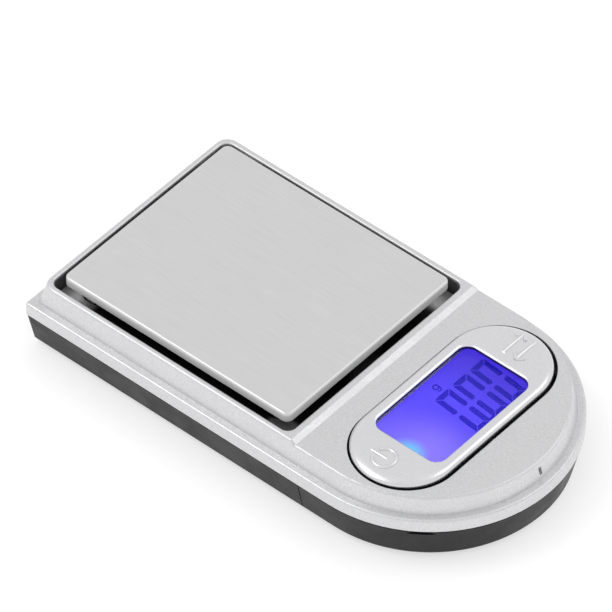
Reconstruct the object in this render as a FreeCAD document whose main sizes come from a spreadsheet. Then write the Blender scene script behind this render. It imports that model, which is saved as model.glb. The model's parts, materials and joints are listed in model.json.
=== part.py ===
import FreeCAD, Part
import os

import Sketcher
from FreeCAD import Vector

# A pocket gram scale: a silver upper case over a black base, a sprung weighing platform in a
# pocket at the rear, and a rocking key round a backlit display at the rounded front end.
# Millimetres.  Origin: centre of the footprint, on the table.  +Y runs from the rounded front
# to the platform end, +X is the reader's right, +Z is up.

DOC = FreeCAD.newDocument("gram_scale")
SHEET = DOC.addObject("Spreadsheet::Sheet", "Sheet")

# The driving dimensions, one spreadsheet cell each.
DIMENSIONS = {
    # overall
    "CaseWidth": 40.0,
    "CaseLength": 71.4,
    "FootHeight": 0.4,
    "BaseDepth": 5.7,
    "SeamGap": 0.25,
    # upper case
    "LedgeHeight": 1.9,
    "LedgeWidth": 1.15,
    "LedgeRound": 0.4,
    "BlockHeight": 2.85,
    "SideDraft": 0.8,
    "RearDraft": 0.1,
    "RimWidth": 0.85,
    "RimRound": 0.4,
    "PocketRound": 0.3,
    "RimCorner": 2.0,
    "BlockCorner": 0.8,
    "OuterCorner": 0.5,
    "DeckDrop": 0.4,
    "DeckSlope": 0.8,
    "FrontRim": 1.0,
    "DeckThickness": 1.1,
    "FloorThickness": 1.0,
    "UpperWall": 1.3,
    "PocketWall": 1.2,
    "GateWidth": 0.5,
    "GateHeight": 1.1,
    "GateDepth": 0.8,
    "GateRise": 0.6,
    "GateShift": 0.35,
    # platform
    "PanLength": 38.2,
    "PanGap": 1.15,
    "PanProud": 1.2,
    "PanSkirt": 1.35,
    "PanSheet": 0.4,
    "PanRound": 0.35,
    "PanCorner": 1.0,
    "PocketDepth": 3.05,
    "PocketCorner": 1.2,
    "TapeThickness": 0.2,
    "TapeInset": 3.0,
    "CarrierPlate": 1.0,
    "CarrierPlay": 0.15,
    "RibDepth": 1.1,
    "RibWidth": 1.0,
    "RibInset": 1.4,
    "PostWidth": 7.2,
    "PostLength": 7.6,
    "PostInset": 0.6,
    "PostClearance": 0.9,
    "PostCorner": 0.5,
    "PlatformTravel": 0.3,
    # load cell
    "CellInset": 0.1,
    "CellWidth": 8.0,
    "CellHeight": 4.0,
    "CellRise": 1.0,
    "CellSeatMargin": 0.4,
    "CellStopRadius": 1.2,
    "CellStopGap": 0.1,
    "CellHole": 1.35,
    "CellHoleSpacing": 8.0,
    "CellSlot": 1.0,
    "CellScrewInset": 2.8,
    "CellScrewPitch": 3.6,
    "GaugeLength": 6.0,
    "GaugeWidth": 5.0,
    "GaugeThickness": 0.3,
    # base and battery cover
    "BaseInset": 0.1,
    "BaseTaper": 1.0,
    "BaseRearTaper": 0.15,
    "BaseWall": 1.1,
    "BaseFloor": 1.0,
    "BottomCorner": 0.6,
    "BottomRound": 1.3,
    "BottomRearRound": 0.4,
    "TongueInset": 1.6,
    "TongueHeight": 0.5,
    "CoverRimInset": 0.7,
    "CoverRimPlay": 0.05,
    "WallBite": 0.2,
    "CoverLength": 25.1,
    "CoverGap": 0.15,
    "CoverFloor": 0.9,
    "PartitionHeight": 2.4,
    "PartitionThickness": 1.0,
    "LipLength": 0.8,
    "LipThickness": 0.5,
    "LipClearance": 0.2,
    "LipEnds": 8.0,
    "ProngInset": 3.1,
    "ProngWidth": 1.2,
    "ProngHeight": 1.0,
    "ProngPast": 2.9,
    "ProngPlay": 0.15,
    "ProngRise": 1.6,
    "LugThickness": 0.8,
    "LugReach": 0.5,
    "LugSetback": 1.2,
    "LugLead": 0.2,
    "ThumbNotchAngle": 53.0,
    "ThumbNotchRadius": 5.0,
    "ThumbNotchDepth": 0.5,
    "FootRadius": 2.5,
    "FootSeat": 0.4,
    "FootPlay": 0.05,
    "FootInset": 6.0,
    # screws
    "ScrewCupRadius": 3.1,
    "ScrewCupBore": 2.4,
    "ScrewCupFloor": 1.0,
    "ScrewPostTop": 4.5,
    "ScrewPostRadius": 2.6,
    "ScrewInset": 4.0,
    "CaseScrewHead": 2.0,
    "CaseScrewShank": 0.7,
    "SmallScrewHead": 1.6,
    "SmallScrewShank": 0.85,
    "ScrewHeadHeight": 0.9,
    "ScrewPlay": 0.1,
    "ThreadPlay": 0.02,
    "ScrewTipGap": 0.5,
    "PilotFloor": 0.2,
    "CrossWidth": 0.35,
    "CrossDepth": 0.4,
    "CrossReach": 0.6,
    # rocking key and window
    "KeyHalfLength": 16.3,
    "KeyBezel": 1.65,
    "KeyPlace": 16.3,
    "KeyGap": 0.35,
    "KeyGapShift": 0.12,
    "KeyProud": 0.7,
    "KeyThickness": 1.3,
    "KeyCrown": 0.85,
    "KeyWellDepth": 1.8,
    "WindowHalfLength": 9.4,
    "WindowHalfWidth": 5.55,
    "WindowCorner": 1.6,
    "WindowRound": 0.3,
    "WindowOverlap": 0.6,
    "WindowThickness": 0.55,
    "WindowSeat": 0.75,
    "WindowPlay": 0.05,
    "HingeDrop": 1.6,
    "HingePinRadius": 0.4,
    "HingePlay": 0.05,
    "HingeEarPlay": 0.25,
    "HingeEarHalf": 0.9,
    "HingeLug": 1.0,
    "HingeLugBelow": 0.3,
    "HingeEarInset": 0.1,
    "HingePinBite": 0.1,
    "HingeLugHalf": 1.3,
    "KeyLegRadius": 1.1,
    "KeyLegInset": 2.3,
    # electronics
    "BoardThickness": 0.8,
    "BoardRise": 4.0,
    "BoardMargin": 3.0,
    "BoardRearGap": 0.3,
    "DomeHeight": 1.4,
    "DomeRadius": 2.0,
    "DomeTop": 1.3,
    "DomeWall": 0.4,
    "GlassOverlapEnds": 1.5,
    "GlassOverlapSides": 0.35,
    "GlassThickness": 1.2,
    "GlassDrop": 0.35,
    "FrameWall": 0.4,
    "FramePlay": 0.05,
    "FrameDrop": 0.2,
    "ZebraWidth": 0.8,
    "ZebraInset": 0.9,
    "GuideGap": 0.2,
    "LedLength": 1.0,
    "LedWidth": 2.2,
    "LedInset": 0.2,
    "LedGap": 0.1,
    "BoardScrewInset": 3.4,
    "BoardScrewBack": 2.2,
    "BoardScrewReach": 1.9,
    "BoardPilotDepth": 2.2,
    "BoardBossRadius": 1.6,
    "FrontPostPlace": 5.0,
    "FrontPostRadius": 1.0,
    "FrontPostGap": 0.4,
    "ChipSize": 3.6,
    "ChipHeight": 1.0,
    "ChipPlace": 6.0,
    "ChipRearGap": 2.6,
    # coin cell
    "CoinRadius": 10.0,
    "CoinThickness": 3.2,
    "CoinChamfer": 0.3,
    "CoinPlay": 0.25,
    "HolderWall": 0.95,
    "HolderLip": 0.4,
    "HolderLipReach": 0.6,
    "HolderMouth": 7.0,
    "HolderMouthBack": 3.0,
    "HolderGap": 0.4,
    "ContactThickness": 0.3,
    "ContactWidth": 3.0,
    "ContactHeight": 2.8,
    "ContactPlay": 0.1,
    "LeafThickness": 0.2,
    "LeafLength": 7.0,
    # load cell wires
    "WireRadius": 0.22,
    "WirePitch": 0.7,
    "WireBend": 0.6,
    "WireStart": 1.2,
    "WireHeight": 0.4,
    "WireEnd": 0.9,
}

# Places and sizes worked out from the driving dimensions, as expressions.
HALF_WIDTH = "(Sheet.CaseWidth / 2)"
REAR_Y = "(Sheet.CaseLength / 2)"
FRONT_Y = f"(-{REAR_Y})"
ARC_Y = f"({FRONT_Y} + {HALF_WIDTH})"

SEAM_Z = "(Sheet.FootHeight + Sheet.BaseDepth)"
BASE_TOP_Z = f"({SEAM_Z} - Sheet.SeamGap)"
BASE_FLOOR_Z = "(Sheet.FootHeight + Sheet.BaseFloor)"
COVER_FLOOR_Z = "(Sheet.FootHeight + Sheet.CoverFloor)"
LEDGE_Z = f"({SEAM_Z} + Sheet.LedgeHeight)"
RIM_Z = f"({LEDGE_Z} + Sheet.BlockHeight)"
DECK_Z = f"({RIM_Z} - Sheet.DeckDrop)"
DECK_UNDER_Z = f"({DECK_Z} - Sheet.DeckThickness)"
FLOOR_Z = f"({RIM_Z} - Sheet.PocketDepth)"
FLOOR_UNDER_Z = f"({FLOOR_Z} - Sheet.FloorThickness)"

RIM_HALF = f"({HALF_WIDTH} - Sheet.LedgeWidth - Sheet.SideDraft)"
RIM_REAR_Y = f"({REAR_Y} - Sheet.LedgeWidth - Sheet.RearDraft)"
POCKET_HALF = f"({RIM_HALF} - Sheet.RimWidth)"
POCKET_REAR_Y = f"({RIM_REAR_Y} - Sheet.RimWidth)"
POCKET_FRONT_Y = f"({POCKET_REAR_Y} - Sheet.PanLength - 2 * Sheet.PanGap)"
RIDGE_Y = f"({POCKET_FRONT_Y} - Sheet.FrontRim)"
DECK_Y = f"({RIDGE_Y} - Sheet.DeckSlope)"

PAN_HALF = f"({POCKET_HALF} - Sheet.PanGap)"
PAN_REAR_Y = f"({POCKET_REAR_Y} - Sheet.PanGap)"
PAN_FRONT_Y = f"({POCKET_FRONT_Y} + Sheet.PanGap)"
PAN_MIDDLE_Y = f"(({PAN_REAR_Y} + {PAN_FRONT_Y}) / 2)"
PAN_Z = f"({RIM_Z} + Sheet.PanProud)"
PAN_UNDER_Z = f"({PAN_Z} - Sheet.PanSheet)"
CARRIER_TOP_Z = f"({PAN_UNDER_Z} - Sheet.TapeThickness)"
CARRIER_UNDER_Z = f"({CARRIER_TOP_Z} - Sheet.CarrierPlate)"
CARRIER_EDGE = "(Sheet.PanSheet + Sheet.CarrierPlay)"

CELL_Z = f"({BASE_FLOOR_Z} + Sheet.CellRise)"
CELL_TOP_Z = f"({CELL_Z} + Sheet.CellHeight)"
CELL_FRONT_Y = f"({PAN_FRONT_Y} + Sheet.CellInset)"
CELL_REAR_Y = f"({PAN_REAR_Y} - Sheet.CellInset)"
POST_FRONT_Y = f"({CELL_FRONT_Y} + Sheet.PostInset)"
POST_REAR_Y = f"({POST_FRONT_Y} + Sheet.PostLength)"

SPLIT_Y = f"({FRONT_Y} + Sheet.CoverLength)"
HOLLOW_HALF = f"({HALF_WIDTH} - Sheet.BaseTaper - Sheet.BaseWall)"
HOLLOW_REAR_Y = f"({REAR_Y} - Sheet.BaseTaper - Sheet.BaseWall)"
PRONG_Z = f"({COVER_FLOOR_Z} + Sheet.ProngRise)"
PRONG_TOP_Z = f"({PRONG_Z} + Sheet.ProngHeight)"
PRONG_FRONT_Y = f"({ARC_Y} - Sheet.ProngPast)"

KEY_Y = f"({FRONT_Y} + Sheet.KeyPlace)"
KEY_RADIUS = "(Sheet.WindowHalfWidth + Sheet.KeyBezel)"
KEY_STRAIGHT = f"(Sheet.KeyHalfLength - {KEY_RADIUS})"
KEY_LEG_X = "(Sheet.KeyHalfLength - Sheet.KeyLegInset)"
KEY_Z = f"({DECK_Z} + Sheet.KeyProud)"
KEY_UNDER_Z = f"({KEY_Z} - Sheet.KeyThickness)"
HINGE_Z = f"({DECK_Z} - Sheet.HingeDrop)"
EAR_FACE = f"({KEY_RADIUS} - Sheet.HingeEarInset)"
LUG_FACE = f"({KEY_RADIUS} + Sheet.KeyGap + Sheet.KeyGapShift)"
LUG_BACK = f"({LUG_FACE} + Sheet.HingeLug)"
WINDOW_Z = f"({KEY_UNDER_Z} + Sheet.WindowSeat)"

BOARD_Z = f"({BASE_FLOOR_Z} + Sheet.BoardRise)"
BOARD_TOP_Z = f"({BOARD_Z} + Sheet.BoardThickness)"
BOARD_HALF = f"({HALF_WIDTH} - Sheet.BoardMargin)"
BOARD_REAR_Y = f"({POCKET_FRONT_Y} - Sheet.PocketWall - Sheet.BoardRearGap)"
BOARD_SCREW_Y = f"({BOARD_REAR_Y} - Sheet.BoardScrewBack)"
GLASS_HALF_LENGTH = "(Sheet.WindowHalfLength + Sheet.GlassOverlapEnds)"
GLASS_HALF_WIDTH = "(Sheet.WindowHalfWidth + Sheet.GlassOverlapSides)"
FRAME_HALF_WIDTH = f"({GLASS_HALF_WIDTH} + Sheet.FramePlay + Sheet.FrameWall)"
GLASS_Z = f"({KEY_UNDER_Z} - Sheet.GlassDrop)"
GLASS_UNDER_Z = f"({GLASS_Z} - Sheet.GlassThickness)"

COIN_Z = f"({BOARD_Z} - Sheet.LeafThickness - Sheet.CoinThickness)"
HOLDER_RADIUS = "(Sheet.CoinRadius + Sheet.CoinPlay + Sheet.HolderWall)"
COIN_Y = f"({SPLIT_Y} - Sheet.LipLength - Sheet.HolderGap - {HOLDER_RADIUS})"

# Each rounded lower edge of the base is this many straight facets.
ROUND_STEPS = 4

# Cutters run this far past what they cut, and edges are picked to within this of their place.
PAST = "1"
NEAR = 1e-3

WIRE_COUNT = 4

PARTS = []


def value(expression):
    """The number that an expression stands for now."""
    return float(SHEET.evalExpression(expression))


def fill_sheet():
    """Put each driving dimension in a cell with its own alias."""
    for row, (alias, number) in enumerate(DIMENSIONS.items(), 1):
        SHEET.set(f"A{row}", alias)
        SHEET.set(f"B{row}", str(number))
        SHEET.setAlias(f"B{row}", alias)
    DOC.recompute()


def finish(thing, label):
    """Name a finished sub-part and keep it for the export."""
    thing.Label = label
    PARTS.append(thing)


# ---- plain solids -------------------------------------------------------------------------

def box(x_low, x_high, y_low, y_high, z_low, z_high):
    """A block between six faces, each given as an expression."""
    block = DOC.addObject("Part::Box", "Block")
    for size, low, high in (("Length", x_low, x_high), ("Width", y_low, y_high), ("Height", z_low, z_high)):
        block.setExpression(size, f"({high}) - ({low})")
    for axis, low in (("x", x_low), ("y", y_low), ("z", z_low)):
        block.setExpression(f"Placement.Base.{axis}", low)
    return block


def cylinder(x, y, z_low, z_high, radius):
    """An upright cylinder."""
    rod = DOC.addObject("Part::Cylinder", "Rod")
    rod.setExpression("Radius", radius)
    rod.setExpression("Height", f"({z_high}) - ({z_low})")
    for axis, place in (("x", x), ("y", y), ("z", z_low)):
        rod.setExpression(f"Placement.Base.{axis}", place)
    return rod


def cone(x, y, z_low, z_high, radius_low, radius_high):
    """An upright cone frustum."""
    frustum = DOC.addObject("Part::Cone", "Frustum")
    frustum.setExpression("Radius1", radius_low)
    frustum.setExpression("Radius2", radius_high)
    frustum.setExpression("Height", f"({z_high}) - ({z_low})")
    for axis, place in (("x", x), ("y", y), ("z", z_low)):
        frustum.setExpression(f"Placement.Base.{axis}", place)
    return frustum


def cross_rod(x_low, x_high, y, z, radius):
    """A cylinder lying along X."""
    rod = DOC.addObject("Part::Cylinder", "CrossRod")
    rod.Placement.Rotation = FreeCAD.Rotation(Vector(0, 1, 0), 90)
    rod.setExpression("Radius", radius)
    rod.setExpression("Height", f"({x_high}) - ({x_low})")
    for axis, place in (("x", x_low), ("y", y), ("z", z)):
        rod.setExpression(f"Placement.Base.{axis}", place)
    return rod


def joined(shapes):
    """Several solids made one."""
    union = DOC.addObject("Part::MultiFuse", "Union")
    union.Shapes = shapes
    return union


def without(base, cutters):
    """A solid less the others."""
    rest = DOC.addObject("Part::Cut", "Rest")
    rest.Base = base
    rest.Tool = cutters[0] if len(cutters) == 1 else joined(cutters)
    return rest


# ---- sketches -----------------------------------------------------------------------------

def sketch_on(body, height, plane="XY_Plane"):
    """A sketch on one of the body's own planes, moved out along the plane's normal."""
    sketch = body.newObject("Sketcher::SketchObject", "Sketch")
    support = next(item for item in body.Origin.OriginFeatures if item.Role == plane)
    sketch.AttachmentSupport = [(support, "")]
    sketch.MapMode = "FlatFace"
    sketch.setExpression("AttachmentOffset.Base.z", height)
    return sketch


def bind(sketch, kind, geometry, expression):
    """A dimension of the sketch that follows an expression."""
    index = sketch.addConstraint(Sketcher.Constraint(kind, *geometry, value(expression)))
    name = f"Size{index}"
    sketch.renameConstraint(index, name)
    sketch.setExpression(f"Constraints.{name}", expression)


def line(sketch, x_start, y_start, x_end, y_end):
    """A straight edge."""
    return sketch.addGeometry(Part.LineSegment(Vector(x_start, y_start, 0), Vector(x_end, y_end, 0)))


def arc(sketch, x, y, radius, first_quarter, quarters):
    """A counter-clockwise arc that starts at a whole number of quarter turns from +X."""
    circle = Part.Circle(Vector(x, y, 0), Vector(0, 0, 1), radius)
    right_angle = 1.5707963267948966
    start = first_quarter * right_angle
    return sketch.addGeometry(Part.ArcOfCircle(circle, start, start + quarters * right_angle))


def chain(sketch, pieces):
    """Make each piece of a closed outline run smoothly into the next."""
    for piece, following in zip(pieces, pieces[1:] + pieces[:1]):
        sketch.addConstraint(Sketcher.Constraint("Tangent", piece, 2, following, 1))


def draw_rectangle(sketch, half, y_low, y_high, radius):
    """A rectangle about X = 0 with round corners."""
    x, low, high, r = (value(item) for item in (half, y_low, y_high, radius))
    bottom = line(sketch, r - x, low, x - r, low)
    corner = arc(sketch, x - r, low + r, r, 3, 1)
    right = line(sketch, x, low + r, x, high - r)
    second = arc(sketch, x - r, high - r, r, 0, 1)
    top = line(sketch, x - r, high, r - x, high)
    third = arc(sketch, r - x, high - r, r, 1, 1)
    left = line(sketch, -x, high - r, -x, low + r)
    fourth = arc(sketch, r - x, low + r, r, 2, 1)
    chain(sketch, [bottom, corner, right, second, top, third, left, fourth])
    for flat in (bottom, top):
        sketch.addConstraint(Sketcher.Constraint("Horizontal", flat))
    for upright in (right, left):
        sketch.addConstraint(Sketcher.Constraint("Vertical", upright))
    for other in (second, third, fourth):
        sketch.addConstraint(Sketcher.Constraint("Equal", corner, other))
    bind(sketch, "Radius", (corner,), radius)
    bind(sketch, "DistanceX", (left, 1, -1, 1), half)
    bind(sketch, "DistanceX", (-1, 1, right, 1), half)
    bind(sketch, "DistanceY", (-1, 1, bottom, 1), y_low)
    bind(sketch, "DistanceY", (-1, 1, top, 1), y_high)


def draw_tongue(sketch, half, arc_y, y_high, radius):
    """The plan of the case: half a circle in front, a square end with small corners behind."""
    x, centre, high, r = (value(item) for item in (half, arc_y, y_high, radius))
    front = arc(sketch, 0, centre, x, 2, 2)
    right = line(sketch, x, centre, x, high - r)
    corner = arc(sketch, x - r, high - r, r, 0, 1)
    top = line(sketch, x - r, high, r - x, high)
    other = arc(sketch, r - x, high - r, r, 1, 1)
    left = line(sketch, -x, high - r, -x, centre)
    chain(sketch, [front, right, corner, top, other, left])
    sketch.addConstraint(Sketcher.Constraint("Vertical", right))
    sketch.addConstraint(Sketcher.Constraint("Vertical", left))
    sketch.addConstraint(Sketcher.Constraint("Horizontal", top))
    sketch.addConstraint(Sketcher.Constraint("Equal", corner, other))
    sketch.addConstraint(Sketcher.Constraint("PointOnObject", front, 3, -2))
    bind(sketch, "Radius", (front,), half)
    bind(sketch, "Radius", (corner,), radius)
    bind(sketch, "DistanceY", (-1, 1, front, 3), arc_y)
    bind(sketch, "DistanceY", (-1, 1, top, 1), y_high)


def draw_racetrack(sketch, straight, y, radius):
    """Two half circles joined by straight sides along X."""
    run, centre, r = (value(item) for item in (straight, y, radius))
    right = arc(sketch, run, centre, r, 3, 2)
    top = line(sketch, run, centre + r, -run, centre + r)
    left = arc(sketch, -run, centre, r, 1, 2)
    bottom = line(sketch, -run, centre - r, run, centre - r)
    chain(sketch, [right, top, left, bottom])
    sketch.addConstraint(Sketcher.Constraint("Horizontal", top))
    sketch.addConstraint(Sketcher.Constraint("Horizontal", bottom))
    bind(sketch, "Radius", (right,), radius)
    bind(sketch, "DistanceX", (left, 3, -1, 1), straight)
    bind(sketch, "DistanceX", (-1, 1, right, 3), straight)
    bind(sketch, "DistanceY", (-1, 1, right, 3), y)


def draw_circle(sketch, x, y, radius):
    """A circle; a place of "0" keeps its centre on the axis."""
    place = Vector(value(x), value(y), 0)
    ring = sketch.addGeometry(Part.Circle(place, Vector(0, 0, 1), value(radius)))
    bind(sketch, "Radius", (ring,), radius)
    if x == "0":
        sketch.addConstraint(Sketcher.Constraint("PointOnObject", ring, 3, -2))
    else:
        bind(sketch, "DistanceX", (-1, 1, ring, 3), x)
    bind(sketch, "DistanceY", (-1, 1, ring, 3), y)


def draw_polygon(sketch, corners):
    """Straight edges through corners given as pairs of expressions."""
    points = [(value(x), value(y)) for x, y in corners]
    edges = []
    for (x_start, y_start), (x_end, y_end) in zip(points, points[1:] + points[:1]):
        edges.append(line(sketch, x_start, y_start, x_end, y_end))
    for edge, following in zip(edges, edges[1:] + edges[:1]):
        sketch.addConstraint(Sketcher.Constraint("Coincident", edge, 2, following, 1))
    for edge, (x, y) in zip(edges, corners):
        bind(sketch, "DistanceX", (-1, 1, edge, 1), x)
        bind(sketch, "DistanceY", (-1, 1, edge, 1), y)


def draw_block(sketch, x_low, x_high, y_low, y_high):
    """A rectangle with square corners."""
    draw_polygon(sketch, [(x_low, y_low), (x_high, y_low), (x_high, y_high), (x_low, y_high)])


# ---- features of a body -------------------------------------------------------------------

def new_body(label):
    """An empty body, kept for the export under its label."""
    body = DOC.addObject("PartDesign::Body", label)
    finish(body, label)
    return body


def pad(body, sketch, length, downward=False):
    """Grow the sketch by a length."""
    feature = body.newObject("PartDesign::Pad", "Pad")
    feature.Profile = sketch
    feature.Reversed = downward
    feature.setExpression("Length", length)
    DOC.recompute()


def pocket(body, sketch, length, upward=False, both_ways=False):
    """Cut the sketch into the body, and check that it removed something."""
    before = body.Shape.Volume
    feature = body.newObject("PartDesign::Pocket", "Pocket")
    feature.Profile = sketch
    feature.Reversed = upward
    feature.Midplane = both_ways
    feature.setExpression("Length", length)
    DOC.recompute()
    if body.Shape.Volume > before - 1e-6:
        raise RuntimeError(f"a pocket in {body.Label} cut nothing")


def loft(body, first, others):
    """A solid that runs straight from each sketch to the next."""
    feature = body.newObject("PartDesign::AdditiveLoft", "Loft")
    feature.Profile = first
    feature.Sections = others
    feature.Ruled = True
    DOC.recompute()


def round_edges(body, wanted, radius):
    """Round the edges that the test picks."""
    base = body.Tip
    names = [f"Edge{number}" for number, edge in enumerate(base.Shape.Edges, 1) if wanted(edge)]
    feature = body.newObject("PartDesign::Fillet", "Fillet")
    feature.Base = (base, names)
    feature.setExpression("Radius", radius)
    DOC.recompute()


def level(height):
    """A test for edges that lie flat at a height."""
    z = value(height)
    return lambda edge: abs(edge.BoundBox.ZMin - z) < 1e-4 and abs(edge.BoundBox.ZMax - z) < 1e-4


def mirrored(expression):
    """The expression and its mirror image across X = 0."""
    return (f"(-{expression})", expression)


def both_sides(low, high):
    """A pair of places, from low to high, and their mirror images across zero."""
    return ((low, high), (f"(-{high})", f"(-{low})"))


# ---- places of the fasteners --------------------------------------------------------------

def case_screw_places():
    """The four screws that hold the two halves of the case together, hidden by the pan."""
    rear = f"({POCKET_REAR_Y} - Sheet.ScrewInset)"
    front = f"({POST_REAR_Y} - Sheet.PostLength / 2)"
    side = f"({POCKET_HALF} - Sheet.ScrewInset - Sheet.PanGap)"
    return [(x, y) for y in (front, rear) for x in mirrored(side)]


def board_screw_places():
    """The two screws behind the display."""
    return [(x, BOARD_SCREW_Y) for x in mirrored(f"({BOARD_HALF} - Sheet.BoardScrewInset)")]


def foot_places(y):
    """A pair of feet at one end."""
    return [(x, y) for x in mirrored(f"({HALF_WIDTH} - Sheet.FootInset)")]


REAR_FOOT_Y = f"({REAR_Y} - Sheet.FootInset)"
FRONT_FOOT_Y = f"({SPLIT_Y} - Sheet.FootInset)"
FRONT_POST_Y = f"({ARC_Y} - {RIM_HALF} + Sheet.PocketWall + Sheet.FrontPostRadius + Sheet.FrontPostGap)"


def cell_screw_rows(end):
    """The two screws at one end of the load cell, front or rear."""
    if end == "front":
        first = f"({CELL_FRONT_Y} + Sheet.CellScrewInset)"
        return [first, f"({first} + Sheet.CellScrewPitch)"]
    first = f"({CELL_REAR_Y} - Sheet.CellScrewInset)"
    return [first, f"({first} - Sheet.CellScrewPitch)"]


# ---- the case -----------------------------------------------------------------------------

def upper_shell(body):
    """Outside of the upper case: ledge, drafted block and the lower deck round the display."""
    ledge = sketch_on(body, SEAM_Z)
    draw_tongue(ledge, HALF_WIDTH, ARC_Y, REAR_Y, "Sheet.OuterCorner")
    pad(body, ledge, "Sheet.LedgeHeight")
    foot = sketch_on(body, LEDGE_Z)
    draw_tongue(foot, f"({HALF_WIDTH} - Sheet.LedgeWidth)", ARC_Y, f"({REAR_Y} - Sheet.LedgeWidth)",
                "Sheet.BlockCorner")
    rim = sketch_on(body, RIM_Z)
    draw_tongue(rim, RIM_HALF, ARC_Y, RIM_REAR_Y, "Sheet.RimCorner")
    loft(body, foot, [rim])
    step = sketch_on(body, "0", "YZ_Plane")
    beyond = f"({FRONT_Y} - {PAST})"
    above = f"({RIM_Z} + {PAST})"
    slope = [(RIDGE_Y, RIM_Z), (DECK_Y, DECK_Z)]
    draw_polygon(step, slope + [(beyond, DECK_Z), (beyond, above), (RIDGE_Y, above)])
    pocket(body, step, "Sheet.CaseWidth", both_ways=True)


def on_outline(edge):
    """True for the top edges that run round the outside of the block."""
    bounds = edge.BoundBox
    crosses = bounds.YLength < NEAR and bounds.YMax < value(POCKET_FRONT_Y)
    return bounds.ZMin > value(DECK_Z) - NEAR and not crosses


def on_pocket(edge):
    """True for the edges round the top of the platform's pocket."""
    bounds = edge.BoundBox
    at_rim = bounds.ZMin > value(RIM_Z) - NEAR
    within_sides = max(bounds.XMax, -bounds.XMin) < value(POCKET_HALF) + NEAR
    within_ends = (bounds.YMin > value(POCKET_FRONT_Y) - NEAR
                   and bounds.YMax < value(POCKET_REAR_Y) + NEAR)
    return at_rim and within_sides and within_ends


def upper_rounds(body):
    """Soft outer edges."""
    round_edges(body, on_outline, "Sheet.RimRound")
    outer = value(HALF_WIDTH) - NEAR
    at_ledge = level(LEDGE_Z)

    def outermost(edge):
        reach = max(edge.BoundBox.XMax, -edge.BoundBox.XMin)
        behind = edge.BoundBox.YMax > value(REAR_Y) - NEAR
        return at_ledge(edge) and (reach > outer or behind)

    round_edges(body, outermost, "Sheet.LedgeRound")


def upper_hollows(body):
    """The room inside, the pocket for the platform and the well for the key."""
    skirt = sketch_on(body, SEAM_Z)
    draw_tongue(skirt, f"({HALF_WIDTH} - Sheet.UpperWall)", ARC_Y, f"({REAR_Y} - Sheet.UpperWall)",
                "Sheet.OuterCorner")
    pocket(body, skirt, f"{FLOOR_UNDER_Z} - {SEAM_Z}", upward=True)
    front_room = sketch_on(body, SEAM_Z)
    draw_tongue(front_room, f"({RIM_HALF} - Sheet.PocketWall)", ARC_Y,
                f"({POCKET_FRONT_Y} - Sheet.PocketWall)", "Sheet.OuterCorner")
    pocket(body, front_room, f"{DECK_UNDER_Z} - {SEAM_Z}", upward=True)
    platform = sketch_on(body, RIM_Z)
    draw_rectangle(platform, POCKET_HALF, POCKET_FRONT_Y, POCKET_REAR_Y, "Sheet.PocketCorner")
    pocket(body, platform, "Sheet.PocketDepth")
    round_edges(body, on_pocket, "Sheet.PocketRound")
    post = sketch_on(body, FLOOR_Z)
    draw_rectangle(post, "(Sheet.PostWidth / 2 + Sheet.PostClearance)",
                   f"({POST_FRONT_Y} - Sheet.PostClearance)",
                   f"({POST_REAR_Y} + Sheet.PostClearance)", "Sheet.OuterCorner")
    pocket(body, post, "Sheet.FloorThickness")
    well = sketch_on(body, DECK_Z)
    draw_racetrack(well, KEY_STRAIGHT, f"({KEY_Y} - Sheet.KeyGapShift)", f"({KEY_RADIUS} + Sheet.KeyGap)")
    pocket(body, well, "Sheet.KeyWellDepth")


def upper_screw_cups(body):
    """Cups in the pocket floor for the case screws."""
    for x, y in case_screw_places():
        cup = sketch_on(body, FLOOR_UNDER_Z)
        draw_circle(cup, x, y, "Sheet.ScrewCupRadius")
        pad(body, cup, f"{FLOOR_UNDER_Z} - Sheet.ScrewPostTop", downward=True)
        bore = sketch_on(body, FLOOR_Z)
        draw_circle(bore, x, y, "Sheet.ScrewCupBore")
        pocket(body, bore, f"{FLOOR_Z} - Sheet.ScrewPostTop - Sheet.ScrewCupFloor")
        hole = sketch_on(body, "Sheet.ScrewPostTop + Sheet.ScrewCupFloor")
        draw_circle(hole, x, y, "(Sheet.CaseScrewShank + Sheet.ScrewPlay)")
        pocket(body, hole, "Sheet.ScrewCupFloor")


def upper_hinge_lugs(body):
    """Two lugs under the deck that carry the key's pins."""
    below_pin = "Sheet.HingePinRadius + Sheet.HingeLugBelow"
    for low, high in both_sides(LUG_FACE, LUG_BACK):
        lug = sketch_on(body, DECK_UNDER_Z)
        draw_block(lug, "(-Sheet.HingeLugHalf)", "Sheet.HingeLugHalf", f"({KEY_Y} + {low})",
                   f"({KEY_Y} + {high})")
        pad(body, lug, f"{DECK_UNDER_Z} - {HINGE_Z} + {below_pin}", downward=True)
    bore = sketch_on(body, f"(-{KEY_Y})", "XZ_Plane")
    draw_circle(bore, "0", HINGE_Z, "(Sheet.HingePinRadius + Sheet.HingePlay)")
    pocket(body, bore, f"2 * ({LUG_BACK} + Sheet.HingePinBite)", both_ways=True)


def upper_board_posts(body):
    """Bosses and posts that the circuit board is pressed against."""
    for x, y in board_screw_places():
        boss = sketch_on(body, DECK_UNDER_Z)
        draw_circle(boss, x, y, "Sheet.BoardBossRadius")
        pad(body, boss, f"{DECK_UNDER_Z} - {BOARD_TOP_Z}", downward=True)
        pilot = sketch_on(body, BOARD_TOP_Z)
        draw_circle(pilot, x, y, "(Sheet.CaseScrewShank + Sheet.ThreadPlay)")
        pocket(body, pilot, "Sheet.BoardPilotDepth", upward=True)
    for x in mirrored("Sheet.FrontPostPlace"):
        post = sketch_on(body, DECK_UNDER_Z)
        draw_circle(post, x, FRONT_POST_Y, "Sheet.FrontPostRadius")
        pad(body, post, f"{DECK_UNDER_Z} - {BOARD_TOP_Z}", downward=True)


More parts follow.
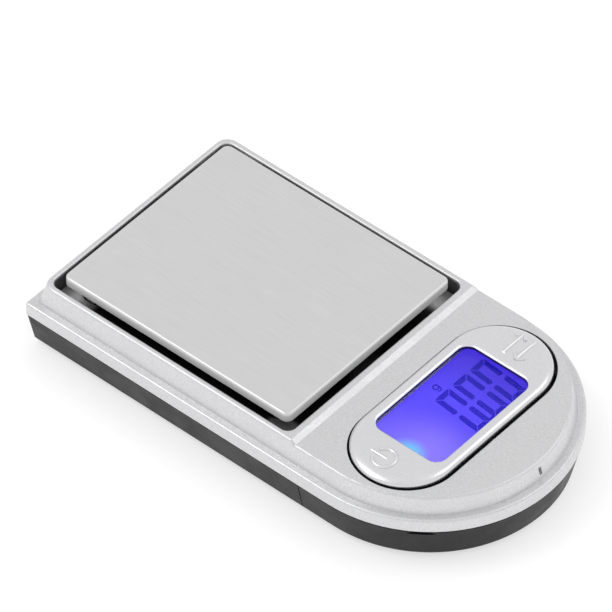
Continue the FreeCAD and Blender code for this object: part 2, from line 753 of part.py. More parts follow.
def upper_gate_mark(body):
    """The small slot in the sloping front face."""
    slot = sketch_on(body, f"({LEDGE_Z} + Sheet.GateRise + Sheet.GateHeight)")
    face = f"({FRONT_Y} + Sheet.LedgeWidth)"
    draw_block(slot, "(-Sheet.GateShift - Sheet.GateWidth / 2)", "(Sheet.GateWidth / 2 - Sheet.GateShift)",
               f"({face} - Sheet.GateDepth)", f"({face} + Sheet.GateDepth)")
    pocket(body, slot, "Sheet.GateHeight")


def upper_case():
    """The silver moulding."""
    body = new_body("upper_case")
    upper_shell(body)
    upper_rounds(body)
    upper_hollows(body)
    upper_screw_cups(body)
    upper_hinge_lugs(body)
    upper_board_posts(body)
    upper_gate_mark(body)


def lower_shell(body, floor, rim_inset, rim_height):
    """A black shell of the whole plan, rounded below and tapered, with a raised inner rim at its top."""
    sections = []
    for step in range(ROUND_STEPS + 1):
        turn = 90 - 90 * step / ROUND_STEPS
        side = f"(Sheet.BaseTaper + Sheet.BottomRound * (1 - cos({turn})))"
        rear = f"(Sheet.BaseRearTaper + Sheet.BottomRearRound * (1 - cos({turn})))"
        section = sketch_on(body, f"Sheet.FootHeight + Sheet.BottomRound * (1 - sin({turn}))")
        draw_tongue(section, f"({HALF_WIDTH} - {side})", ARC_Y, f"({REAR_Y} - {rear})",
                    "Sheet.BottomCorner")
        sections.append(section)
    top = sketch_on(body, BASE_TOP_Z)
    draw_tongue(top, f"({HALF_WIDTH} - Sheet.BaseInset)", ARC_Y, f"({REAR_Y} - Sheet.BaseInset)",
                "Sheet.OuterCorner")
    loft(body, sections[0], sections[1:] + [top])
    rim = sketch_on(body, BASE_TOP_Z)
    draw_tongue(rim, f"({HALF_WIDTH} - {rim_inset})", ARC_Y, f"({REAR_Y} - {rim_inset})",
                "Sheet.OuterCorner")
    pad(body, rim, rim_height)
    rim_top = f"({BASE_TOP_Z} + {rim_height})"
    hollow = sketch_on(body, rim_top)
    draw_tongue(hollow, HOLLOW_HALF, ARC_Y, HOLLOW_REAR_Y, "Sheet.OuterCorner")
    pocket(body, hollow, f"{rim_top} - {floor}")


def keep_between(body, y_low, y_high):
    """Cut away one end of the shell."""
    above = f"({SEAM_Z} + {PAST})"
    beyond = f"({HALF_WIDTH} + {PAST})"
    cut = sketch_on(body, above)
    draw_block(cut, f"(-{beyond})", beyond, y_low, y_high)
    pocket(body, cut, above)


def foot_seats(body, places):
    """Round recesses for the rubber feet."""
    for x, y in places:
        seat = sketch_on(body, "Sheet.FootHeight")
        draw_circle(seat, x, y, "(Sheet.FootRadius + Sheet.FootPlay)")
        pocket(body, seat, "Sheet.FootSeat", upward=True)


def base_case():
    """The fixed part of the base: it carries the load cell and the battery cover's rails."""
    body = new_body("base_case")
    lower_shell(body, BASE_FLOOR_Z, "Sheet.TongueInset", "(Sheet.SeamGap + Sheet.TongueHeight)")
    keep_between(body, f"({FRONT_Y} - {PAST})", SPLIT_Y)
    base_partition(body)
    base_cell_seat(body)
    base_screw_posts(body)
    foot_seats(body, foot_places(REAR_FOOT_Y))


def base_partition(body):
    """The low wall at the split, its lip over the cover, and the two prongs the cover slides on."""
    wall = sketch_on(body, BASE_FLOOR_Z)
    back = f"({SPLIT_Y} + Sheet.PartitionThickness)"
    ends = f"({HOLLOW_HALF} + Sheet.WallBite)"
    draw_block(wall, f"(-{ends})", ends, SPLIT_Y, back)
    pad(body, wall, "Sheet.PartitionHeight")
    lip = sketch_on(body, f"({COVER_FLOOR_Z} + Sheet.LipClearance)")
    reach = f"({HALF_WIDTH} - Sheet.LipEnds)"
    draw_block(lip, f"(-{reach})", reach, f"({SPLIT_Y} - Sheet.LipLength)", back)
    pad(body, lip, "Sheet.LipThickness")
    outer = f"({HALF_WIDTH} - Sheet.ProngInset)"
    for low, high in both_sides(f"({outer} - Sheet.ProngWidth)", outer):
        prong = sketch_on(body, PRONG_Z)
        draw_block(prong, low, high, PRONG_FRONT_Y, back)
        pad(body, prong, "Sheet.ProngHeight")


def base_cell_seat(body):
    """The pad under the fixed end of the load cell, and the stop under its free end."""
    seat = sketch_on(body, BASE_FLOOR_Z)
    draw_rectangle(seat, "(Sheet.CellWidth / 2 + Sheet.CellSeatMargin)",
                   f"({CELL_REAR_Y} - 2 * Sheet.CellScrewPitch)",
                   f"({CELL_REAR_Y} + Sheet.CellSeatMargin)", "Sheet.PostCorner")
    pad(body, seat, "Sheet.CellRise")
    for y in cell_screw_rows("rear"):
        recess = sketch_on(body, "Sheet.FootHeight")
        draw_circle(recess, "0", y, "(Sheet.SmallScrewHead + Sheet.ScrewPlay)")
        pocket(body, recess, "Sheet.ScrewHeadHeight + Sheet.ScrewPlay", upward=True)
        hole = sketch_on(body, CELL_Z)
        draw_circle(hole, "0", y, "(Sheet.SmallScrewShank + Sheet.ScrewPlay)")
        pocket(body, hole, "Sheet.CellRise + Sheet.BaseFloor")
    stop = sketch_on(body, BASE_FLOOR_Z)
    draw_circle(stop, "0", f"({CELL_FRONT_Y} + Sheet.CellScrewInset + Sheet.CellScrewPitch / 2)",
                "Sheet.CellStopRadius")
    pad(body, stop, "Sheet.CellRise - Sheet.PlatformTravel - Sheet.CellStopGap")


def base_screw_posts(body):
    """Posts that the case screws bite into."""
    for x, y in case_screw_places():
        post = sketch_on(body, BASE_FLOOR_Z)
        draw_circle(post, x, y, "Sheet.ScrewPostRadius")
        pad(body, post, f"Sheet.ScrewPostTop - {BASE_FLOOR_Z}")
        pilot = sketch_on(body, "Sheet.ScrewPostTop")
        draw_circle(pilot, x, y, "(Sheet.CaseScrewShank + Sheet.ThreadPlay)")
        pocket(body, pilot, f"Sheet.ScrewPostTop - {BASE_FLOOR_Z} - Sheet.PilotFloor")


def battery_cover():
    """The rounded front of the base, which slides off forwards."""
    body = new_body("battery_cover")
    lower_shell(body, COVER_FLOOR_Z, "Sheet.CoverRimInset", "(Sheet.SeamGap - Sheet.CoverRimPlay)")
    keep_between(body, f"({SPLIT_Y} - Sheet.CoverGap)", f"({REAR_Y} + {PAST})")
    cover_channels(body)
    cover_thumb_notch(body)
    foot_seats(body, foot_places(FRONT_FOOT_Y))


def cover_channels(body):
    """Lugs above and below each prong."""
    inner = f"({HALF_WIDTH} - Sheet.ProngInset - Sheet.ProngWidth - Sheet.LugReach)"
    outer = f"({HOLLOW_HALF} + Sheet.WallBite)"
    rear = f"({SPLIT_Y} - Sheet.CoverGap - Sheet.LugSetback)"
    front = f"({PRONG_FRONT_Y} - Sheet.LugLead)"
    below = f"({PRONG_Z} - Sheet.ProngPlay)"
    above = f"({PRONG_TOP_Z} + Sheet.ProngPlay)"
    levels = ((COVER_FLOOR_Z, f"{below} - {COVER_FLOOR_Z}"), (above, "Sheet.LugThickness"))
    for low, high in both_sides(inner, outer):
        for bottom, thickness in levels:
            lug = sketch_on(body, bottom)
            draw_block(lug, low, high, front, rear)
            pad(body, lug, thickness)


def cover_thumb_notch(body):
    """A shallow scoop at the seam that a fingernail catches to pull the cover off."""
    reach = f"({HALF_WIDTH} - Sheet.BaseInset - Sheet.ThumbNotchDepth + Sheet.ThumbNotchRadius)"
    scoop = sketch_on(body, BASE_TOP_Z)
    draw_circle(scoop, f"(-{reach} * sin(Sheet.ThumbNotchAngle))",
                f"({ARC_Y} - {reach} * cos(Sheet.ThumbNotchAngle))", "Sheet.ThumbNotchRadius")
    pocket(body, scoop, "Sheet.ThumbNotchDepth")


# ---- the platform -------------------------------------------------------------------------

def weighing_pan():
    """The folded steel pan."""
    body = new_body("weighing_pan")
    plate = sketch_on(body, f"({PAN_Z} - Sheet.PanSkirt)")
    draw_rectangle(plate, PAN_HALF, PAN_FRONT_Y, PAN_REAR_Y, "Sheet.PanCorner")
    pad(body, plate, "Sheet.PanSkirt")
    round_edges(body, level(PAN_Z), "Sheet.PanRound")
    inside = sketch_on(body, f"({PAN_Z} - Sheet.PanSkirt)")
    draw_rectangle(inside, f"({PAN_HALF} - Sheet.PanSheet)", f"({PAN_FRONT_Y} + Sheet.PanSheet)",
                   f"({PAN_REAR_Y} - Sheet.PanSheet)", "(Sheet.PanCorner - Sheet.PanSheet)")
    pocket(body, inside, "Sheet.PanSkirt - Sheet.PanSheet", upward=True)


def pan_tape():
    """Foam tape that holds the pan on its carrier."""
    half = f"({PAN_HALF} - Sheet.TapeInset)"
    tape = box(f"(-{half})", half, f"({PAN_FRONT_Y} + Sheet.TapeInset)",
               f"({PAN_REAR_Y} - Sheet.TapeInset)", CARRIER_TOP_Z, PAN_UNDER_Z)
    finish(tape, "pan_tape")


def pan_carrier():
    """The black tray under the pan, with ribs and the post that stands on the load cell."""
    body = new_body("pan_carrier")
    plate = sketch_on(body, CARRIER_UNDER_Z)
    draw_rectangle(plate, f"({PAN_HALF} - {CARRIER_EDGE})", f"({PAN_FRONT_Y} + {CARRIER_EDGE})",
                   f"({PAN_REAR_Y} - {CARRIER_EDGE})", "(Sheet.PanCorner - Sheet.PanSheet)")
    pad(body, plate, "Sheet.CarrierPlate")
    frame = sketch_on(body, CARRIER_UNDER_Z)
    inset = f"({CARRIER_EDGE} + Sheet.RibInset)"
    draw_rectangle(frame, f"({PAN_HALF} - {inset})", f"({PAN_FRONT_Y} + {inset})",
                   f"({PAN_REAR_Y} - {inset})", "Sheet.OuterCorner")
    pad(body, frame, "Sheet.RibDepth", downward=True)
    inset = f"({inset} + Sheet.RibWidth)"
    room = sketch_on(body, f"({CARRIER_UNDER_Z} - Sheet.RibDepth)")
    draw_rectangle(room, f"({PAN_HALF} - {inset})", f"({PAN_FRONT_Y} + {inset})",
                   f"({PAN_REAR_Y} - {inset})", "Sheet.OuterCorner")
    pocket(body, room, "Sheet.RibDepth", upward=True)
    post = sketch_on(body, CELL_TOP_Z)
    draw_rectangle(post, "(Sheet.PostWidth / 2)", POST_FRONT_Y, POST_REAR_Y, "Sheet.PostCorner")
    pad(body, post, f"{CARRIER_UNDER_Z} - {CELL_TOP_Z}")
    for y in cell_screw_rows("front"):
        recess = sketch_on(body, CARRIER_TOP_Z)
        draw_circle(recess, "0", y, "(Sheet.SmallScrewHead + Sheet.ScrewPlay)")
        pocket(body, recess, "Sheet.ScrewHeadHeight + 2 * Sheet.ScrewPlay")
        hole = sketch_on(body, CARRIER_TOP_Z)
        draw_circle(hole, "0", y, "(Sheet.SmallScrewShank + Sheet.ScrewPlay)")
        pocket(body, hole, f"{CARRIER_TOP_Z} - {CELL_TOP_Z}")


def load_cell():
    """The aluminium bending beam, thinned in its middle by two holes and a slot."""
    half = "(Sheet.CellWidth / 2)"
    beam = box(f"(-{half})", half, CELL_FRONT_Y, CELL_REAR_Y, CELL_Z, CELL_TOP_Z)
    middle_z = f"({CELL_Z} + Sheet.CellHeight / 2)"
    beyond = f"({half} + {PAST})"
    cutters = []
    for side in ("-", "+"):
        y = f"({PAN_MIDDLE_Y} {side} Sheet.CellHoleSpacing / 2)"
        cutters.append(cross_rod(f"(-{beyond})", beyond, y, middle_z, "Sheet.CellHole"))
    cutters.append(box(f"(-{beyond})", beyond,
                       f"({PAN_MIDDLE_Y} - Sheet.CellHoleSpacing / 2)",
                       f"({PAN_MIDDLE_Y} + Sheet.CellHoleSpacing / 2)",
                       f"({middle_z} - Sheet.CellSlot / 2)", f"({middle_z} + Sheet.CellSlot / 2)"))
    for y in cell_screw_rows("front") + cell_screw_rows("rear"):
        cutters.append(cylinder("0", y, f"({CELL_Z} - {PAST})", f"({CELL_TOP_Z} + {PAST})",
                                "(Sheet.SmallScrewShank + Sheet.ThreadPlay)"))
    finish(without(beam, cutters), "load_cell")


def strain_gauges():
    """Coated gauges on the thin sections of the beam."""
    half = "(Sheet.GaugeWidth / 2)"
    low_y = f"({PAN_MIDDLE_Y} - Sheet.GaugeLength / 2)"
    high_y = f"({PAN_MIDDLE_Y} + Sheet.GaugeLength / 2)"
    top = box(f"(-{half})", half, low_y, high_y, CELL_TOP_Z, f"({CELL_TOP_Z} + Sheet.GaugeThickness)")
    finish(top, "gauge_top")
    bottom = box(f"(-{half})", half, low_y, high_y, f"({CELL_Z} - Sheet.GaugeThickness)", CELL_Z)
    finish(bottom, "gauge_bottom")


# ---- screws -------------------------------------------------------------------------------

def screw(label, x, y, seat, tip, head_radius, shank_radius, head_up):
    """A pan-head screw with a cross recess; it goes from its seat to its tip."""
    head_end = f"({seat} + Sheet.ScrewHeadHeight)" if head_up else f"({seat} - Sheet.ScrewHeadHeight)"
    if head_up:
        head = cylinder(x, y, seat, head_end, head_radius)
        shank = cylinder(x, y, tip, seat, shank_radius)
        recess = (f"({head_end} - Sheet.CrossDepth)", head_end)
    else:
        head = cylinder(x, y, head_end, seat, head_radius)
        shank = cylinder(x, y, seat, tip, shank_radius)
        recess = (head_end, f"({head_end} + Sheet.CrossDepth)")
    arm = f"({head_radius} * Sheet.CrossReach)"
    blade = "(Sheet.CrossWidth / 2)"
    along_x = box(f"({x} - {arm})", f"({x} + {arm})", f"({y} - {blade})", f"({y} + {blade})", *recess)
    along_y = box(f"({x} - {blade})", f"({x} + {blade})", f"({y} - {arm})", f"({y} + {arm})", *recess)
    finish(without(joined([head, shank]), [along_x, along_y]), label)


def screws():
    """Every screw in the scale."""
    seat = "(Sheet.ScrewPostTop + Sheet.ScrewCupFloor)"
    for number, (x, y) in enumerate(case_screw_places(), 1):
        screw(f"case_screw_{number}", x, y, seat, f"({BASE_FLOOR_Z} + Sheet.ScrewTipGap)",
              "Sheet.CaseScrewHead", "Sheet.CaseScrewShank", True)
    for number, (x, y) in enumerate(board_screw_places(), 1):
        tip = f"({BOARD_TOP_Z} + Sheet.BoardScrewReach)"
        screw(f"board_screw_{number}", x, y, BOARD_Z, tip, "Sheet.SmallScrewHead",
              "Sheet.CaseScrewShank", False)
    for number, y in enumerate(cell_screw_rows("rear"), 1):
        seat = "(Sheet.FootHeight + Sheet.ScrewHeadHeight + Sheet.ScrewPlay)"
        screw(f"cell_screw_{number}", "0", y, seat, f"({CELL_TOP_Z} - Sheet.ScrewTipGap)",
              "Sheet.SmallScrewHead", "Sheet.SmallScrewShank", False)
    for number, y in enumerate(cell_screw_rows("front"), 1):
        seat = f"({CARRIER_TOP_Z} - Sheet.ScrewHeadHeight - 2 * Sheet.ScrewPlay)"
        screw(f"carrier_screw_{number}", "0", y, seat, f"({CELL_Z} + Sheet.ScrewTipGap)",
              "Sheet.SmallScrewHead", "Sheet.SmallScrewShank", True)


def feet():
    """Rubber feet: two under the base and two under the battery cover."""
    places = foot_places(REAR_FOOT_Y) + foot_places(FRONT_FOOT_Y)
    for number, (x, y) in enumerate(places, 1):
        foot = cylinder(x, y, "0", "(Sheet.FootHeight + Sheet.FootSeat)", "Sheet.FootRadius")
        finish(foot, f"rubber_foot_{number}")


# ---- the key and the display --------------------------------------------------------------

def rocker_key():
    """The racetrack key that frames the display: it rocks to press one of two domes."""
    body = new_body("rocker_key")
    plan = sketch_on(body, KEY_UNDER_Z)
    draw_racetrack(plan, KEY_STRAIGHT, KEY_Y, KEY_RADIUS)
    pad(body, plan, "Sheet.KeyThickness")
    round_edges(body, level(KEY_Z), "Sheet.KeyCrown")
    key_window_opening(body)
    key_hinge(body)
    for x in mirrored(KEY_LEG_X):
        leg = sketch_on(body, KEY_UNDER_Z)
        draw_circle(leg, x, KEY_Y, "Sheet.KeyLegRadius")
        pad(body, leg, f"{KEY_UNDER_Z} - {BOARD_TOP_Z} - Sheet.DomeHeight", downward=True)


def key_window_opening(body):
    """The opening over the display, with a soft edge and a seat for the window underneath."""
    opening = sketch_on(body, KEY_Z)
    draw_rectangle(opening, "Sheet.WindowHalfLength", f"({KEY_Y} - Sheet.WindowHalfWidth)",
                   f"({KEY_Y} + Sheet.WindowHalfWidth)", "Sheet.WindowCorner")
    pocket(body, opening, "Sheet.KeyThickness")
    at_top = level(KEY_Z)
    reach = value("Sheet.WindowHalfLength") + NEAR
    half = value("Sheet.WindowHalfWidth") + NEAR
    middle = value(KEY_Y)

    def at_opening(edge):
        bounds = edge.BoundBox
        inside_x = max(bounds.XMax, -bounds.XMin) < reach
        inside_y = max(bounds.YMax - middle, middle - bounds.YMin) < half
        return at_top(edge) and inside_x and inside_y

    round_edges(body, at_opening, "Sheet.WindowRound")
    seat = sketch_on(body, KEY_UNDER_Z)
    side = "(Sheet.WindowHalfWidth + Sheet.WindowOverlap)"
    draw_rectangle(seat, "(Sheet.WindowHalfLength + Sheet.WindowOverlap)", f"({KEY_Y} - {side})",
                   f"({KEY_Y} + {side})", "Sheet.WindowCorner")
    pocket(body, seat, "Sheet.WindowSeat", upward=True)


def key_hinge(body):
    """Ears under the long sides of the key, and the pins they carry."""
    for low, high in both_sides(f"({FRAME_HALF_WIDTH} + Sheet.HingeEarPlay)", EAR_FACE):
        ear = sketch_on(body, KEY_UNDER_Z)
        draw_block(ear, "(-Sheet.HingeEarHalf)", "Sheet.HingeEarHalf", f"({KEY_Y} + {low})",
                   f"({KEY_Y} + {high})")
        pad(body, ear, f"{KEY_UNDER_Z} - {HINGE_Z} + Sheet.HingePinRadius", downward=True)
    reach = f"({LUG_BACK} - {EAR_FACE} + Sheet.HingePinBite)"
    rear_pin = sketch_on(body, f"(-{KEY_Y} - {EAR_FACE} + Sheet.HingePinBite)", "XZ_Plane")
    draw_circle(rear_pin, "0", HINGE_Z, "Sheet.HingePinRadius")
    pad(body, rear_pin, reach, downward=True)
    front_pin = sketch_on(body, f"(-{KEY_Y} + {EAR_FACE} - Sheet.HingePinBite)", "XZ_Plane")
    draw_circle(front_pin, "0", HINGE_Z, "Sheet.HingePinRadius")
    pad(body, front_pin, reach)


def display_window():
    """The clear window, pressed into the key from below."""
    body = new_body("display_window")
    plan = sketch_on(body, f"({WINDOW_Z} - Sheet.WindowThickness)")
    overlap = "Sheet.WindowOverlap - Sheet.WindowPlay"
    side = f"(Sheet.WindowHalfWidth + {overlap})"
    draw_rectangle(plan, f"(Sheet.WindowHalfLength + {overlap})", f"({KEY_Y} - {side})",
                   f"({KEY_Y} + {side})", "Sheet.WindowCorner")
    pad(body, plan, "Sheet.WindowThickness")


def display_box(length, width, z_low, z_high):
    """A block centred on the display, from its half length and half width."""
    return box(f"(-{length})", length, f"({KEY_Y} - {width})", f"({KEY_Y} + {width})", z_low, z_high)


def display_stack():
    """The display glass, its frame, contact strips, light guide and lamp."""
    finish(display_box(GLASS_HALF_LENGTH, GLASS_HALF_WIDTH, GLASS_UNDER_Z, GLASS_Z), "lcd_glass")
    inner_length = f"({GLASS_HALF_LENGTH} + Sheet.FramePlay)"
    inner_width = f"({GLASS_HALF_WIDTH} + Sheet.FramePlay)"
    frame_top = f"({GLASS_Z} - Sheet.FrameDrop)"
    outer = display_box(f"({inner_length} + Sheet.FrameWall)", FRAME_HALF_WIDTH, BOARD_TOP_Z, frame_top)
    inner = display_box(inner_length, inner_width, f"({BOARD_TOP_Z} - {PAST})", f"({frame_top} + {PAST})")
    finish(without(outer, [inner]), "lcd_frame")
    ends = f"({GLASS_HALF_LENGTH} - Sheet.ZebraInset)"
    for number, side in enumerate(("-1", "1"), 1):
        middle = f"({KEY_Y} + {side} * ({GLASS_HALF_WIDTH} - Sheet.ZebraWidth))"
        strip = box(f"(-{ends})", ends, f"({middle} - Sheet.ZebraWidth / 2)",
                    f"({middle} + Sheet.ZebraWidth / 2)", BOARD_TOP_Z, GLASS_UNDER_Z)
        finish(strip, f"zebra_strip_{number}")
    half = f"({GLASS_HALF_WIDTH} - 2 * Sheet.ZebraWidth)"
    end = f"({GLASS_HALF_LENGTH} - Sheet.LedInset)"
    lamp_x = f"(-{end})"
    guide_x = f"({lamp_x} + Sheet.LedLength + Sheet.LedGap)"
    guide = box(guide_x, end, f"({KEY_Y} - {half})", f"({KEY_Y} + {half})",
                BOARD_TOP_Z, f"({GLASS_UNDER_Z} - Sheet.GuideGap)")
    finish(guide, "light_guide")
    lamp = box(lamp_x, f"({lamp_x} + Sheet.LedLength)", f"({KEY_Y} - Sheet.LedWidth / 2)",
               f"({KEY_Y} + Sheet.LedWidth / 2)", BOARD_TOP_Z, f"({GLASS_UNDER_Z} - 2 * Sheet.GuideGap)")
    finish(lamp, "backlight_led")


# ---- electronics --------------------------------------------------------------------------

def circuit_board():
    """The board, cut to the plan of the front end."""
    body = new_body("circuit_board")
    plan = sketch_on(body, BOARD_Z)
    draw_tongue(plan, BOARD_HALF, ARC_Y, BOARD_REAR_Y, "Sheet.OuterCorner")
    pad(body, plan, "Sheet.BoardThickness")
    for x, y in board_screw_places():
        hole = sketch_on(body, BOARD_TOP_Z)
        draw_circle(hole, x, y, "(Sheet.CaseScrewShank + Sheet.ScrewPlay)")
        pocket(body, hole, "Sheet.BoardThickness")


def board_parts():
    """The controller under its blob of resin, and the amplifier for the load cell."""
    y = f"({BOARD_REAR_Y} - Sheet.ChipRearGap)"
    top = f"({BOARD_TOP_Z} + Sheet.ChipHeight)"
    blob = cone("(-Sheet.ChipPlace)", y, BOARD_TOP_Z, top, "(Sheet.ChipSize / 2)", "(Sheet.ChipSize / 3)")
    finish(blob, "chip_blob")
    half = "(Sheet.ChipSize / 2)"
    chip = box(f"(Sheet.ChipPlace - {half})", f"(Sheet.ChipPlace + {half})", f"({y} - {half})",
               f"({y} + {half})", BOARD_TOP_Z, top)
    finish(chip, "amplifier_chip")


def key_domes():
    """Hollow rubber domes that the key's legs press."""
    top = f"({BOARD_TOP_Z} + Sheet.DomeHeight)"
    for name, x in zip(("key_dome_left", "key_dome_right"), mirrored(KEY_LEG_X)):
        outside = cone(x, KEY_Y, BOARD_TOP_Z, top, "Sheet.DomeRadius", "Sheet.DomeTop")
        inside = cone(x, KEY_Y, BOARD_TOP_Z, f"({top} - Sheet.DomeWall)",
                      "(Sheet.DomeRadius - Sheet.DomeWall)", "(Sheet.DomeTop - Sheet.DomeWall)")
        finish(without(outside, [inside]), name)


def coin_cell():
    """The round lithium cell: a can with a slightly smaller cap on top."""
    shoulder = f"({COIN_Z} + Sheet.CoinThickness - Sheet.CoinChamfer)"
    can = cylinder("0", COIN_Y, COIN_Z, shoulder, "Sheet.CoinRadius")
    cap = cone("0", COIN_Y, shoulder, f"({COIN_Z} + Sheet.CoinThickness)",
               "(Sheet.CoinRadius - Sheet.CoinChamfer)", "(Sheet.CoinRadius - 2 * Sheet.CoinChamfer)")
    finish(joined([can, cap]), "coin_cell")


def coin_holder():
    """A ring round the coin cell, open in front, with a lip that the cell rests on."""
    bore = "(Sheet.CoinRadius + Sheet.CoinPlay)"
    lip_z = f"({COIN_Z} - Sheet.HolderLip)"
    ring = cylinder("0", COIN_Y, lip_z, BOARD_Z, HOLDER_RADIUS)
    below = f"({lip_z} - {PAST})"
    above = f"({BOARD_Z} + {PAST})"
    seat = cylinder("0", COIN_Y, COIN_Z, above, bore)
    hole = cylinder("0", COIN_Y, below, above, "(Sheet.CoinRadius - Sheet.HolderLipReach)")
    mouth = box("(-Sheet.HolderMouth)", "Sheet.HolderMouth", f"({COIN_Y} - 2 * {HOLDER_RADIUS})",
                f"({COIN_Y} - Sheet.HolderMouthBack)", below, above)
    half = "(Sheet.ContactWidth / 2 + Sheet.ContactPlay)"
    outside = "Sheet.CoinRadius + Sheet.ContactThickness + Sheet.ContactPlay"
    slot = box(f"(-{half})", half, COIN_Y, f"({COIN_Y} + {outside})", below, above)
    finish(without(ring, [seat, hole, mouth, slot]), "coin_holder")


def contacts():
    """A strip against the side of the coin cell and a leaf on top of it."""
    half = "(Sheet.ContactWidth / 2)"
    can_y = f"({COIN_Y} + Sheet.CoinRadius)"
    strip = box(f"(-{half})", half, can_y, f"({can_y} + Sheet.ContactThickness)",
                f"({BOARD_Z} - Sheet.ContactHeight)", BOARD_Z)
    finish(strip, "contact_side")
    leaf = box(f"(-{half})", half, f"({COIN_Y} - Sheet.LeafLength / 2)",
               f"({COIN_Y} + Sheet.LeafLength / 2)", f"({BOARD_Z} - Sheet.LeafThickness)", BOARD_Z)
    finish(leaf, "contact_leaf")


def bent_wire(points, bend, radius):
    """A round wire through right-angled corners, each rounded to one bend radius."""
    edges = []
    start = points[0]
    for corner, following in zip(points[1:], points[2:]):
        into = (corner - start).normalize()
        out_of = (following - corner).normalize()
        arc_start = corner - into * bend
        arc_end = corner + out_of * bend
        centre = arc_start + out_of * bend
        middle = centre + (corner - centre).normalize() * bend
        edges.append(Part.LineSegment(start, arc_start).toShape())
        edges.append(Part.Arc(arc_start, middle, arc_end).toShape())
        start = arc_end
    edges.append(Part.LineSegment(start, points[-1]).toShape())
    path = Part.Wire(edges)
    direction = (points[1] - points[0]).normalize()
    section = Part.Wire(Part.Circle(points[0], direction, radius).toShape())
    return path.makePipeShell([section], True, False)


def cell_wires():
    """Four thin wires from the side of the load cell to the underside of the board."""
    side = value("Sheet.CellWidth / 2")
    z = value(f"{BOARD_Z} - Sheet.WireHeight - Sheet.WireBend")
    end_y = value(f"{BOARD_REAR_Y} - Sheet.WireEnd")
    pitch = value("Sheet.WirePitch")
    first_y = value(PAN_MIDDLE_Y) - pitch * (WIRE_COUNT - 1) / 2
    for number in range(WIRE_COUNT):
        x = side + value("Sheet.WireStart") + number * pitch
        y = first_y + number * pitch
        corners = [Vector(x, y, z), Vector(x, end_y, z)]
        route = [Vector(side, y, z)] + corners + [Vector(x, end_y, value(BOARD_Z))]
        wire = DOC.addObject("Part::Feature", "Wire")
        wire.Shape = bent_wire(route, value("Sheet.WireBend"), value("Sheet.WireRadius"))
        finish(wire, f"cell_wire_{number + 1}")


# ---- build and export ---------------------------------------------------------------------

def check_objects():
    """Stop if any object failed to build or any sub-part isn't a sound solid."""
    for item in DOC.Objects:
        if "Invalid" in item.State or "Error" in item.State:
            raise RuntimeError(f"{item.Label} ({item.Name}) failed: {item.State}")
    for part in PARTS:
        if part.Shape.isNull() or not part.Shape.isValid():
            raise RuntimeError(f"{part.Label} has no sound shape")


def export_parts():
    """Write each sub-part to its own file."""
    os.makedirs("parts", exist_ok=True)
    for part in PARTS:
        part.Shape.exportStep(f"parts/{part.Label}.step")


def build():
    """Make the whole scale."""
    fill_sheet()
    upper_case()
    base_case()
    battery_cover()
    weighing_pan()
    pan_tape()
    pan_carrier()
    load_cell()
    strain_gauges()
    screws()
    feet()
    rocker_key()
    display_window()
    display_stack()
    circuit_board()
    board_parts()
    key_domes()
    coin_cell()
    coin_holder()
    contacts()
    cell_wires()
    DOC.recompute()
    check_objects()
    export_parts()


build()
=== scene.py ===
import json
import math

import bmesh
import bpy
from mathutils import Matrix, Vector
from mathutils.bvhtree import BVHTree


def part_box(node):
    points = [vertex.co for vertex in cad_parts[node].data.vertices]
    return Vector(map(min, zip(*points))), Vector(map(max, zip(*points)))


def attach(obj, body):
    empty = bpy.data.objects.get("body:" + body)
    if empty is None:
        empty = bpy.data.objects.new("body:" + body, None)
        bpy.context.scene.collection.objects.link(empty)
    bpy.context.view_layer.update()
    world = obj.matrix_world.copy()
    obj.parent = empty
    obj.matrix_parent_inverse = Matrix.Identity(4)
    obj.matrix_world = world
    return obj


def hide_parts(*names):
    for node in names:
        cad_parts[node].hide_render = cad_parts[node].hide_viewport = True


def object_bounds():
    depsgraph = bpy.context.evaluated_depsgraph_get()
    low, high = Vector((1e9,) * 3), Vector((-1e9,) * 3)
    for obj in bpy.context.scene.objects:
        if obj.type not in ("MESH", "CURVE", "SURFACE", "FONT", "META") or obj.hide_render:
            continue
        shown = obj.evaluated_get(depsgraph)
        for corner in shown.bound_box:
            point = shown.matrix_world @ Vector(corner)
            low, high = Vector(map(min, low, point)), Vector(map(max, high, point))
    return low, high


# The looks of a pocket gram scale round its CAD frame.  Metres, in the frame's own axes:
# +Y runs from the rounded front to the platform end, +X is the reader's right, +Z is up.

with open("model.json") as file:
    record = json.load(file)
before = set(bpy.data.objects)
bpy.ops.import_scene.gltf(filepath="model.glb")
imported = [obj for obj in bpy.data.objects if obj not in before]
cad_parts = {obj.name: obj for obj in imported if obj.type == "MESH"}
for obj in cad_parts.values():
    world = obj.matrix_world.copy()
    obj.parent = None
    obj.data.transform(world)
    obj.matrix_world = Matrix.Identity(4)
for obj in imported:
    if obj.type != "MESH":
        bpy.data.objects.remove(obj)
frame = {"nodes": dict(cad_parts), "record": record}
cad_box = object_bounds()

MM = 0.001
WHITE = (1.0, 1.0, 1.0, 1.0)


# ---- materials: helpers -------------------------------------------------------------------

